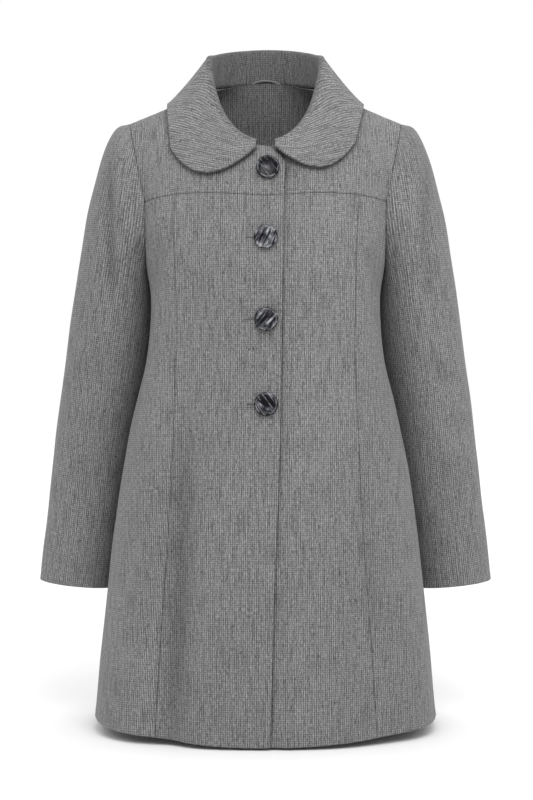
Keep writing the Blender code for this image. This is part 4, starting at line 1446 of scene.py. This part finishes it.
    def build(self) -> list[Object]:
        """The half's three pieces."""
        word = self.side.word
        yoke_cut = Cut(width=0.225, length=0.185, area=0.0262)
        side_cut = Cut(width=0.21, length=0.68, area=0.0820)
        on_back, on_yoke = (f"back_{word}",), (f"front_yoke_{word}",)
        pieces = (
            ("front_yoke", self.yoke(), yoke_cut, on_back, self.yoke_seam),
            ("front_centre", self.centre(), self.centre_cut(), on_yoke, self.panel_seam),
            ("front_side", self.outer(), side_cut, on_yoke, self.panel_seam),
        )
        drape = Drape(creases=CREASES + FRONT_EDGE_ROLL) if self.side is Side.RIGHT else Drape()
        return [
            ClothShell(
                f"{name}_{word}", [patch], self.finish, COAT_SLOT, cut, rests, seam_shade=shade, drape=drape
            ).build()
            for name, patch, cut, rests, shade in pieces
        ]


def leaned(grain: Array, angle: float) -> Array:
    """Places on the flat cloth, turned by an angle."""
    cos, sin = math.cos(angle), math.sin(angle)
    across, up = grain[..., 0], grain[..., 1]
    return np.stack([across * cos - up * sin, across * sin + up * cos], axis=-1)


@dataclass
class BackHalf:
    """One half of the back, from the shoulder to the hem, joined at the centre back."""

    form: BodyForm
    side: Side
    finish: Material
    seam_gap: float = 0.00004
    quarter_length: float = 0.2
    step: float = 0.0044
    middle_width: float = 0.17
    armhole_width: float = 0.09
    low_height: float = 0.67
    high_height: float = 0.17

    def low(self, zone: Array, share: Array) -> Patch:
        """The back below the line across it."""
        form = self.form
        arm = zone == Zone.ARMHOLE.value
        turn = share * math.pi / 2
        gap = self.seam_gap / self.quarter_length
        along = np.where(arm, 1 - (1 - form.back_corner) * np.cos(turn), form.back_corner * share)
        top = form.back_line_z - np.where(arm, (form.back_line_z - form.underarm_z) * np.sin(turn), 0)
        girth = 2 - along * np.where(arm, 1 - gap * share, 1)
        heights = graded(self.low_height, self.step)[:, None]
        z = form.hem_z(girth) + (top - form.hem_z(girth)) * heights
        girth = np.broadcast_to(girth, z.shape)
        points = form.point(self.side.value, girth, z)
        points[..., 0] += np.where((share == 0) & ~arm, self.side.value * self.seam_gap / 2, 0)
        normals = form.normal(self.side.value, girth, z)
        return Patch(points, normals, form.grain(self.side.value, girth, z), (Edge.FIRST_ROW,))

    def high(self, zone: Array, share: Array) -> Patch:
        """The back above that line, on ribs from the neck."""
        form = self.form
        past = form.corner_rib + (1 - form.corner_rib) * share
        rib = np.where(zone == Zone.ARMHOLE.value, past, form.corner_rib * share)
        down = np.repeat(graded(self.high_height, self.step)[::-1, None], len(rib), axis=1)
        points = form.rib(rib, True, down)
        points[..., 1] += np.where(rib == 1, self.seam_gap / 2, 0)
        points[..., 0] += np.where(rib == 0, self.seam_gap / 2, 0)
        normals = form.rib_normal(rib, True, down)
        flip = np.array([self.side.value, 1, 1])
        return Patch(points * flip, normals * flip, form.high_grain(points, True) * flip[:2])

    def build(self) -> list[Object]:
        """The half's one piece."""
        middle = graded(self.middle_width, self.step)
        arm = graded(self.armhole_width, self.step)[1:]
        stretches = ((Zone.CENTRE, middle), (Zone.ARMHOLE, arm))
        zone = np.concatenate([np.full(len(shares), z.value) for z, shares in stretches])
        share = np.concatenate([middle, arm])
        patches = [self.low(zone, share), self.high(zone, share)]
        word = self.side.word
        cut = Cut(width=0.33, length=0.86, area=0.2113)
        rests = (f"front_yoke_{word}", f"front_side_{word}")
        return [ClothShell(f"back_{word}", patches, self.finish, COAT_SLOT, cut, rests).build()]


@dataclass
class Sleeve:
    """A two-piece set-in sleeve, from the armhole to the plain cuff."""

    form: BodyForm
    side: Side
    finish: Material
    armhole_gap: float = 0.00005
    fade_rings: float = 5.0
    front_seam: float = 1.35
    back_seam: float = 2.80
    seam_gap: float = 0.00004
    quarter_length: float = 0.08
    step: float = 0.0036
    length: float = 0.61
    arm_way: Place = (-0.135, -0.025, 0.990)
    inner_turn: float = 2.0
    inner_span: float = 1.15
    inner_shadow: float = 0.9
    shadow_low_z: float = -0.74
    shadow_fade: float = 0.34
    underarm_tuck: float = 0.0016
    underarm_rings: float = 5.0
    underarm_span: float = 0.6
    turn_step: float = 0.02
    ring_step: float = 0.25
    top_width: float = 0.23
    under_width: float = 0.13
    seam_shade: float = 0.35

    def __post_init__(self) -> None:
        """Reads the ring table."""
        self.ring = tracks(SLEEVE_COLUMNS, SLEEVE)
        self.arm = tracks(ARM_COLUMNS, ARM)
        self.last = SLEEVE[-1][0]

    def armhole(self, turn: Array) -> Array:
        """The whole armhole: 0 shoulder tip, then front, underarm and back, in quarters of 1."""
        turn = np.mod(turn, 4.0)
        share = np.mod(turn, 1.0)
        form, right_angle = self.form, math.pi / 2
        quarters = (
            form.armhole_top(1 - share, False),
            form.armhole_low(share * right_angle, False),
            form.armhole_low((1 - share) * right_angle, True),
            form.armhole_top(share, True),
        )
        number = np.floor(turn).astype(int)[..., None]
        return np.select([number == k for k in range(4)], quarters)

    def oval(self, ring: Array, turn: Array) -> Array:
        """Points of the sleeve's plain oval rings."""
        row = {name: track(ring) for name, track in self.ring.items()}
        cos, sin = np.cos(turn * math.pi / 2), np.sin(turn * math.pi / 2)
        x = (row["outer_x"] + row["inner_x"]) / 2 + (row["outer_x"] - row["inner_x"]) / 2 * cos
        z = (row["outer_z"] + row["inner_z"]) / 2 + (row["outer_z"] - row["inner_z"]) / 2 * cos
        return stack(x, row["y"] - row["half_depth"] * sin, z)

    def outside(self, ring: Array, turn: Array) -> Array:
        """Points on the outside of the left sleeve: from the armhole's line into plain ovals."""
        fade = (1 - ease(ring / self.fade_rings))[..., None]
        first = self.oval(np.zeros_like(ring), turn)
        points = self.oval(ring, turn) + (self.armhole(turn) - first) * fade
        points[..., 0] += self.armhole_gap
        return points

    def patch(self, turns: Array) -> Patch:
        """A piece of the sleeve between two seams.

        Args:
            turns: its columns, in quarter turns.

        Returns:
            The piece's outside.
        """
        rings = graded(self.length, self.step) * self.last
        turn, ring = np.meshgrid(turns, rings)
        points = self.outside(ring, turn)
        across = self.outside(ring, turn + self.turn_step) - self.outside(ring, turn - self.turn_step)
        low = np.clip(ring - self.ring_step, 0, self.last)
        high = np.clip(ring + self.ring_step, 0, self.last)
        normals = unit(np.cross(across, self.outside(high, turn) - self.outside(low, turn)))
        near = ease(1 - np.abs(turn - self.inner_turn) / self.underarm_span)
        swell = np.sin(np.clip(ring / self.underarm_rings, 0, 1) * math.pi)
        points[..., 0] -= self.underarm_tuck * near * swell
        flip = np.array([self.side.value, 1, 1])
        grain = self.grain(points, turns.mean() > 1)
        shade = self.shadow(points, turn)
        return Patch(points * flip, normals * flip, grain * flip[:2], (Edge.LAST_ROW,), shade)

    def grain(self, points: Array, under: bool) -> Array:
        """Places on the flat sleeve, unrolled about the middle of the arm.

        Args:
            points: on the left sleeve.
            under: whether they are on the under sleeve, whose middle faces the body.

        Returns:
            Across from the outer line, and up along the arm.
        """
        z = points[..., 2]
        angle = np.arctan2(self.arm["y"](z) - points[..., 1], points[..., 0] - self.arm["x"](z))
        angle = np.where(under & (angle < 0), angle + 2 * math.pi, angle)
        return np.stack([angle * self.arm["radius"](z), points @ np.array(self.arm_way)], axis=-1)

    def shadow(self, points: Array, turn: Array) -> Array:
        """Shadow where the sleeve lies against the body, deepest at the underarm."""
        inner = ease(1 - np.abs(turn - self.inner_turn) / self.inner_span)
        return self.inner_shadow * inner * ease((points[..., 2] - self.shadow_low_z) / self.shadow_fade)

    def build(self) -> list[Object]:
        """The top sleeve and the under sleeve."""
        gap = self.seam_gap / 2 / self.quarter_length
        top_span = self.front_seam - self.back_seam + 4
        under_span = self.back_seam - self.front_seam
        top = self.back_seam - 4 + gap + (top_span - 2 * gap) * graded(self.top_width, self.step)
        under = self.front_seam + gap + (under_span - 2 * gap) * graded(self.under_width, self.step)
        word = self.side.word
        rests = (f"front_yoke_{word}", f"back_{word}")
        pieces = (
            ("sleeve_top", top, Cut(width=0.28, length=0.62, area=0.1306)),
            ("sleeve_under", under, Cut(width=0.15, length=0.49, area=0.0568)),
        )
        return [
            ClothShell(
                f"{name}_{word}",
                [self.patch(turns)],
                self.finish,
                COAT_SLOT,
                cut,
                rests,
                seam_shade=self.seam_shade,
            ).build()
            for name, turns, cut in pieces
        ]


@dataclass
class Collar:
    """The round collar in one piece: a stand at the back that rolls over into the fall."""

    form: BodyForm
    finish: Material
    roll: float = 0.0030
    bow: float = 1.2
    clear: float = 0.0040
    stand_shadow: float = 0.62
    front_spring: float = 0.0050
    spring_end: float = 0.75
    foot: float = 0.00078
    right_point_longer: float = 1.09
    left_point_longer: float = 0.95
    point_span: float = 0.5
    rib_start: float = 0.1
    cloth: float = 0.0028
    neck_radius: float = 0.21
    steps: int = 190
    stand_rows: int = 10
    roll_rows: int = 12
    fall_rows: int = 26
    fall_length: float = 0.07
    half_length: float = 0.22
    seam_shade: float = 0.25
    wave_depth: float = 0.0004
    pucker_depth: float = 0.0002

    def half(self, side: Side, places: Array) -> Array:
        """One half of the collar, as rows across its width.

        Args:
            side: the half.
            places: along the neck, 0 centre front to 2 centre back.

        Returns:
            Points, rows by places.
        """
        table = tracks(COLLAR_COLUMNS, COLLAR)
        longer = self.right_point_longer if side is Side.RIGHT else self.left_point_longer
        fall = table["fall"](places) * (1 + (longer - 1) * ease((1 - places) / self.point_span))
        stand, front = table["stand"](places), places <= 1
        points = np.concatenate(
            [
                self.sections(places[front], stand[front], fall[front], False),
                self.sections(places[~front], stand[~front], fall[~front], True),
            ],
            axis=1,
        )
        return points * np.array([side.value, 1, 1])

    def sections(self, places: Array, stand: Array, fall: Array, back: bool) -> Array:
        """The collar across its width: stand, roll, then the fall over the shoulders.

        Args:
            places: along the neck, all at the front or all at the back.
            stand: the stand's height at each place.
            fall: the fall's width at each place.
            back: whether they are at the back.

        Returns:
            Points, rows by places.
        """
        form, up = self.form, np.array([0.0, 0.0, 1.0])
        rib = 2 - places if back else places
        neck = form.neck(rib, back)
        out = unit((form.rib(rib, back, np.full(rib.shape, self.rib_start)) - neck) * (1 - up))
        straight = np.clip(stand - self.roll, 0, None)
        rise = self.foot + np.linspace(0, 1, self.stand_rows)[:, None] * straight
        low = neck + up * rise[..., None]
        turn = np.linspace(0, math.pi, self.roll_rows)[1:, None, None]
        over = low[-1] + out * (self.roll * (1 - np.cos(turn))) + up * (self.roll * np.sin(turn))
        share = graded(self.fall_length, self.fall_length / self.fall_rows)[1:, None]
        t = form.rib_share(rib, back, share * fall)
        clear = self.clear + self.front_spring * ease((self.spring_end - places) / self.spring_end)
        lift = form.rib_normal(rib, back, t) * (clear * share)[..., None]
        down = form.rib(rib, back, t) + (over[-1] - neck) * ((1 - share) ** self.bow)[..., None] + lift
        return np.concatenate([low, over, down])

    def flat(self, points: Array) -> Array:
        """Places on the flat collar, which is cut as a bent strip with its grain at the centre back."""
        neck_steps = np.linalg.norm(np.diff(points[0], axis=0), axis=-1)
        along = np.concatenate([[0.0], np.cumsum(neck_steps)])
        angle = (along - along[-1] / 2) / self.neck_radius
        across = np.linalg.norm(np.diff(points, axis=0), axis=-1)
        first = np.zeros((1, across.shape[1]))
        reach = self.neck_radius + np.concatenate([first, np.cumsum(across, axis=0)])
        return np.stack([reach * np.sin(angle), -reach * np.cos(angle)], axis=-1)

    def middle(self) -> Array:
        """The middle of the collar's cloth, rows across its width by places from right to left."""
        first = COLLAR[0][0]
        shares = graded(self.half_length, self.half_length / (self.steps / 2))
        places = first + (2 - first) * shares
        left = self.half(Side.LEFT, places)
        return np.concatenate([self.half(Side.RIGHT, places), left[:, -2::-1]], axis=1)

    def edge(self) -> Array:
        """The line of the collar's outer edge."""
        return self.middle()[-1]

    def build(self) -> list[Object]:
        """The collar's one piece."""
        points = self.middle()
        normals = unit(np.cross(np.gradient(points, axis=1), np.gradient(points, axis=0)))
        stand = 1 - ease((np.arange(len(points)) - self.stand_rows) / self.roll_rows)
        shade = np.repeat(self.stand_shadow * stand[:, None], points.shape[1], axis=1)
        patch = Patch(points + normals * self.cloth / 2, normals, self.flat(points), shade=shade)
        cut = Cut(width=0.52, length=0.31, area=0.0762, held=Held.FOLDED)
        rests = ("front_yoke_right", "front_yoke_left", "back_right", "back_left")
        shell = ClothShell(
            "collar",
            [patch],
            self.finish,
            COAT_SLOT,
            cut,
            rests,
            thickness=self.cloth,
            seam_shade=self.seam_shade,
            drape=Drape(self.wave_depth, self.pucker_depth, creases=()),
        )
        return [shell.build()]


@dataclass
class NeckFacing:
    """The strip of coat cloth that faces the inside of the back neck."""

    form: BodyForm
    finish: Material
    middle: float = 0.095
    shoulder: float = 0.055
    clear: float = 0.0014
    last_rib: float = 0.97
    above_seam: float = 0.0038
    above_shoulder: float = 0.0030
    near_neck: float = 0.03
    coat_cloth: float = 0.0024
    cloth: float = 0.0012
    step: float = 0.004
    half_width: float = 0.14
    height: float = 0.08
    grain_shift: Pair = (0.31, 0.17)

    def build(self) -> list[Object]:
        """The facing's one piece."""
        form = self.form
        rib = graded(self.half_width, self.step) * self.last_rib
        depth = self.shoulder + (self.middle - self.shoulder) * np.cos(rib * math.pi / 2) ** 2
        above = self.above_seam + self.above_shoulder * rib**2
        distance = graded(self.height, self.step)[::-1, None] * (depth + above) - above
        t = form.rib_share(rib, True, np.clip(distance, 0, None))
        normals = form.rib_normal(rib, True, t)
        upward = unit(form.neck(rib, True) - form.rib(rib, True, np.full(rib.shape, self.near_neck)))
        half = form.rib(rib, True, t) - normals * (self.coat_cloth + self.clear)
        half += upward * np.clip(-distance, 0, None)[..., None]
        flip = np.array([-1, 1, 1])
        points = np.concatenate([half[:, :0:-1] * flip, half], axis=1)
        normals = np.concatenate([normals[:, :0:-1] * flip, normals], axis=1)
        grain = form.high_grain(points, True) + np.array(self.grain_shift)
        cut = Cut(width=0.25, length=0.105, area=0.0222, held=Held.LAID)
        shell = ClothShell(
            "back_neck_facing",
            [Patch(points, normals, grain)],
            self.finish,
            "facing_wool",
            cut,
            ("back_right", "back_left"),
            thickness=self.cloth,
            drape=None,
        )
        return [shell.build()]


def swept(name: str, centres: Array, ways: Array, ups: Array, radii: Array, closed: bool) -> Object:
    """A round thread or roll of cloth along a route.

    Args:
        name: the piece's name.
        centres: points along it.
        ways: sideways directions there.
        ups: outward directions there.
        radii: half width and half height at each point.
        closed: whether the route comes back to its start.

    Returns:
        A smooth mesh object with its length and girth as a flat map.
    """
    sides = 12
    angle = np.linspace(0, 2 * math.pi, sides, endpoint=False)
    cos, sin = np.cos(angle)[None, :, None], np.sin(angle)[None, :, None]
    sideways = ways[:, None] * cos * radii[:, None, :1]
    rings = centres[:, None] + sideways + ups[:, None] * sin * radii[:, None, 1:]
    count = len(centres)
    index = np.arange(count * sides).reshape(count, sides)
    after = np.roll(index, -1, axis=0) if closed else index[1:]
    start = index if closed else index[:-1]
    corners = (start, np.roll(start, -1, axis=1), np.roll(after, -1, axis=1), after)
    quads = np.stack(corners, axis=-1)
    faces = quads.reshape(-1, 4).tolist()
    if not closed:
        faces += [index[0, ::-1].tolist(), index[-1].tolist()]
    mesh = bpy.data.meshes.new(name)
    mesh.from_pydata(rings.reshape(-1, 3).tolist(), [], faces)
    steps = np.linalg.norm(np.diff(centres, axis=0), axis=1)
    length = np.concatenate([[0.0], np.cumsum(steps)])[:, None]
    grain = np.stack(np.broadcast_arrays(length, angle[None, :] * radii[:, :1]), axis=-1)
    keep_map(mesh, GRAIN_MAP, grain.reshape(-1, 2))
    mesh.shade_smooth()
    return in_scene(name, mesh)


@dataclass
class HangerLoop:
    """The narrow rolled cloth loop inside the back of the neck."""

    form: BodyForm
    finish: Material
    half_length: float = 0.019
    rise: float = 0.005
    radius: float = 0.0014
    collar_cloth: float = 0.0030
    clear: float = 0.0016
    caught_from: float = 0.9
    twist_depth: float = 0.06
    twist_rate: float = 55.0
    flatness: float = 0.8
    end_change: float = 0.15
    steps: int = 90

    def build(self) -> list[Object]:
        """The loop's one piece, a little rounder where its ends are caught in the seam."""
        form = self.form
        share = np.linspace(-1, 1, self.steps)
        x = self.half_length * share
        rib = np.arcsin(np.abs(x) / form.neck_half_width) / (math.pi / 2)
        bow = form.neck_back[0] - form.neck(rib, True)[:, 1]
        face = form.neck_back[0] - self.collar_cloth / 2 - self.clear - self.radius
        z = form.neck_back[1] + self.radius + self.rise * (1 - share**2)
        centres = stack(x, face - bow, z)
        way = unit(np.gradient(centres, axis=0))
        out = np.broadcast_to(np.array([0.0, -1.0, 0.0]), way.shape)
        up = unit(np.cross(way, out))
        end = np.clip((np.abs(share) - self.caught_from) / (1 - self.caught_from), 0, 1)
        change = self.end_change * end
        size = self.radius * (1 + self.twist_depth * np.sin(share * self.twist_rate))
        radii = np.stack([size * (1 - change), size * (self.flatness + change)], axis=1)
        piece = swept("hanger_loop_cloth", centres, up, out, radii, closed=False)
        piece.data.materials.append(self.finish)
        return [dress(piece, "hanger_loop", "loop_cloth")]


def worn_front(form: BodyForm, x: Array, z: Array) -> tuple[Array, Array]:
    """The right front's creased outside, away from its seams.

    Args:
        form: the body's form.
        x: places across.
        z: heights.

    Returns:
        Points and the ways out there.
    """
    points, normals = form.front_surface(x, z)
    drape = Drape(creases=CREASES + FRONT_EDGE_ROLL)
    lift = drape.crease(points, normals) + drape.wave(points)
    return points + normals * lift[:, None], normals


@dataclass
class Button:
    """A dished horn button on its shank, standing on the right front."""

    form: BodyForm
    number: int
    x: float
    z: float
    finish: Material
    radius: float = 0.0150
    shank_length: float = 0.0022
    stand_off: float = 0.0006
    level: float = 0.7
    rim_clear: float = 0.0006
    sides: int = 72
    steps_a_knot: int = 4
    # Share of the radius and height above the base, from the middle of the face round to the shank
    profile: tuple[Pair, ...] = (
        (0.00, 0.00255),
        (0.20, 0.00257),
        (0.40, 0.00265),
        (0.56, 0.00280),
        (0.66, 0.00310),
        (0.73, 0.00365),
        (0.79, 0.00408),
        (0.85, 0.00424),
        (0.91, 0.00412),
        (0.96, 0.00368),
        (0.99, 0.00300),
        (1.00, 0.00225),
        (0.995, 0.00155),
        (0.97, 0.00085),
        (0.92, 0.00030),
        (0.86, 0.00004),
        (0.70, 0.00000),
        (0.26, 0.00000),
        (0.235, -0.0004),
        (0.225, -0.0012),
        (0.230, -0.0022),
        (0.00, -0.0022),
    )

    def build(self) -> list[Object]:
        """The button's one piece, turned about its axis."""
        place = np.linspace(0, len(self.profile) - 1, self.steps_a_knot * len(self.profile))
        knots = np.arange(len(self.profile), dtype=float)
        table = np.array(self.profile)
        radius = np.clip(Track(knots, table[:, 0])(place), 0, 1) * self.radius
        height = Track(knots, table[:, 1])(place)
        points, normals = worn_front(self.form, np.array([self.x]), np.array([self.z]))
        normal = Vector(normals[0])
        facing = normal.lerp(Vector((0.0, -1.0, 0.0)), self.level).normalized()
        # A tilted button stands further off, on a longer shank, so that its rim clears the cloth
        rim_drop = self.radius * math.sin(normal.angle(facing)) + self.rim_clear
        shank = max(self.shank_length + self.stand_off, rim_drop)
        height = np.where(height < 0, height * (shank - self.stand_off) / self.shank_length, height)
        angle = np.linspace(0, 2 * math.pi, self.sides, endpoint=False)
        x, y = radius[:, None] * np.cos(angle), radius[:, None] * np.sin(angle)
        rings = stack(x, y, np.broadcast_to(height[:, None], x.shape))[1:-1]
        index = np.arange(rings[..., 0].size).reshape(rings.shape[:2])
        nxt = np.roll(index, -1, axis=1)
        quads = np.stack([index[:-1], index[1:], nxt[1:], nxt[:-1]], axis=-1).reshape(-1, 4)
        top, bottom = index.size, index.size + 1
        fans = [[top, a, b] for a, b in zip(index[0].tolist(), nxt[0].tolist())]
        fans += [[bottom, b, a] for a, b in zip(index[-1].tolist(), nxt[-1].tolist())]
        ends = np.array([[0, 0, height[0]], [0, 0, height[-1]]])
        verts = np.concatenate([rings.reshape(-1, 3), ends])
        mesh = bpy.data.meshes.new(f"button_{self.number}_horn")
        mesh.from_pydata(verts.tolist(), [], quads.tolist() + fans)
        keep_map(mesh, FACE_MAP, verts[:, :2] / self.radius)
        mesh.shade_smooth()
        mesh.materials.append(self.finish)
        piece = in_scene(mesh.name, mesh)
        turn = facing.to_track_quat("Z", "Y").to_matrix().to_4x4()
        turn.translation = Vector(points[0]) + normal * shank
        mesh.transform(turn)
        return [dress(piece, f"button_{self.number}", "button_horn")]


@dataclass
class Buttonhole:
    """A worked buttonhole: close stitches in a long ring, behind its button."""

    form: BodyForm
    number: int
    x: float
    z: float
    reach_in: float
    finish: Material
    reach_out: float = 0.0075
    half_width: float = 0.00045
    thread: float = 0.00050
    proud: float = 0.0002
    end_round: float = 0.35
    between_stitches: float = 0.78
    flatness: float = 0.75
    stitches: int = 46
    steps: int = 368

    def build(self) -> list[Object]:
        """The ring of stitches, lying on the cloth."""
        half = (self.reach_out + self.reach_in) / 2
        middle = self.x + (self.reach_out - self.reach_in) / 2
        turn = np.linspace(0, 2 * math.pi, self.steps, endpoint=False)
        # A long flat ring: most of its points lie on the two straight sides
        across = np.sign(np.cos(turn)) * np.abs(np.cos(turn)) ** self.end_round * half
        up = np.sign(np.sin(turn)) * np.abs(np.sin(turn)) ** self.end_round * self.half_width
        points, normals = worn_front(self.form, middle + across, self.z + up)
        centres = points + normals * self.proud
        way = unit(np.roll(centres, -1, axis=0) - np.roll(centres, 1, axis=0))
        side = unit(np.cross(normals, way))
        stitch = np.abs(np.sin(turn * self.stitches / 2))
        size = self.thread * (self.between_stitches + (1 - self.between_stitches) * stitch)
        radii = np.stack([size, size * self.flatness], axis=1)
        piece = swept(f"buttonhole_{self.number}_thread", centres, side, normals, radii, closed=True)
        piece.data.materials.append(self.finish)
        return [dress(piece, None, "loop_cloth")]


@dataclass
class Studio:
    """A pale floor, soft light all round and a camera in front of the coat."""

    floor_z: float = -0.8590
    floor_reach: float = 14.0
    camera_place: Place = (0.0013, -2.1, -0.4315)
    lens: float = 71.05
    sensor: float = 36.0
    front_sky: float = 0.50
    back_sky: float = 1.30
    seen_sky: float = 1.0
    sky_turn: Pair = (-0.3, 0.2)
    key_spread: float = 0.9
    box_place: Place = (0.15, -1.00, 0.55)
    box_aim: Place = (0.0, -0.10, -0.15)
    box_size: float = 0.7
    box_watts: float = 6.6
    # Where each broad light comes from, and its strength
    lights: tuple[tuple[Place, float], ...] = (
        ((0.45, -0.80, 0.95), 0.60),
        ((-0.35, -0.80, 1.00), 0.52),
    )

    def floor(self, finish: Material) -> Object:
        """The floor, flat and wide."""
        mesh = bpy.data.meshes.new("studio_floor")
        r, z = self.floor_reach, self.floor_z
        mesh.from_pydata([(-r, -r, z), (r, -r, z), (r, r, z), (-r, r, z)], [], [(0, 1, 2, 3)])
        mesh.materials.append(finish)
        floor = in_scene("studio_floor", mesh)
        return floor

    def light(self) -> None:
        """White light all round, brighter behind the coat, and the broad keys in front."""
        scene = bpy.context.scene
        scene.world = bpy.data.worlds.new("studio_light")
        scene.world.use_nodes = True
        tree = scene.world.node_tree
        sky = tree.nodes["Background"]
        sky.inputs["Color"].default_value = (1.0, 1.0, 1.0, 1.0)
        way = tree.nodes.new("ShaderNodeTexCoord")
        parts = tree.nodes.new("ShaderNodeSeparateXYZ")
        level = tree.nodes.new("ShaderNodeMapRange")
        limits = (*self.sky_turn, self.front_sky, self.back_sky)
        for name, number in zip(RANGE_SOCKETS, limits):
            level.inputs[name].default_value = number
        tree.links.new(way.outputs["Generated"], parts.inputs["Vector"])
        tree.links.new(parts.outputs["Y"], level.inputs["Value"])
        # What is seen behind the coat is plain white from every side
        seen = tree.nodes.new("ShaderNodeLightPath")
        ground = tree.nodes.new("ShaderNodeMix")
        unseen_place, seen_place = MIX_NUMBERS
        ground.inputs[seen_place].default_value = self.seen_sky
        tree.links.new(seen.outputs["Is Camera Ray"], ground.inputs[MIX_SHARE])
        tree.links.new(level.outputs["Result"], ground.inputs[unseen_place])
        tree.links.new(ground.outputs[MIX_NUMBER_OUT], sky.inputs["Strength"])
        for number, (place, strength) in enumerate(self.lights, start=1):
            lamp = bpy.data.lights.new(f"key_{number}", "SUN")
            lamp.energy, lamp.angle = strength, self.key_spread
            key = in_scene(f"key_{number}", lamp)
            key.rotation_euler = Vector(place).to_track_quat("Z", "Y").to_euler()
        panel = bpy.data.lights.new("softbox", "AREA")
        panel.size, panel.energy = self.box_size, self.box_watts
        softbox = in_scene("softbox", panel)
        softbox.location = self.box_place
        way_out = Vector(self.box_place) - Vector(self.box_aim)
        softbox.rotation_euler = way_out.to_track_quat("Z", "Y").to_euler()

    def camera(self) -> None:
        """The camera, level and straight in front."""
        lens = bpy.data.cameras.new("front_camera")
        lens.lens, lens.sensor_width = self.lens, self.sensor
        camera = in_scene("front_camera", lens)
        camera.location = self.camera_place
        camera.rotation_euler = (math.pi / 2, 0.0, 0.0)
        bpy.context.scene.camera = camera

    def build(self) -> None:
        """The whole studio."""
        self.camera()
        self.light()
        self.floor(StudioFloor().material())
        bpy.context.scene.view_settings.view_transform = "Standard"


def report(pieces: list[Object]) -> None:
    """Says what was made."""
    for piece in pieces:
        LOG.info("%s: %d faces", piece.name, len(piece.data.polygons))


def main() -> None:
    """Builds the studio, then the coat piece by piece."""
    logging.basicConfig(level=logging.INFO, format="%(name)s %(message)s")
    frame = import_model()
    LOG.info("the frame has %d nodes", len(frame["nodes"]))
    Studio().build()
    form = BodyForm()
    wool = CheckWool().material()
    # The facing is the coat's own wool, darkened to 0.85 as painted shade for the inside of the back neck
    inside = CheckWool(name="facing_check_wool_painted_shade", tone=0.85).material()
    thread = StitchThread().material()
    collar = Collar(form, wool)
    for side in Side:
        report(FrontHalf(form, side, wool, collar.edge()).build())
        report(BackHalf(form, side, wool).build())
        report(Sleeve(form, side, wool).build())
    report(collar.build())
    report(NeckFacing(form, inside).build())
    report(HangerLoop(form, LoopCloth().material()).build())
    for number, row in enumerate(BUTTONS, start=1):
        place = dict(zip(BUTTON_COLUMNS, row))
        streaks = (place["streak_turn"], place["streak_shift"], place["smokiness"])
        horn = MarbledHorn(f"marbled_horn_{number}", *streaks).material()
        report(Button(form, number, place["x"], place["z"], horn).build())
        report(Buttonhole(form, number, place["x"], place["z"], place["hole_reach"], thread).build())


if __name__ == "__main__":
    main()
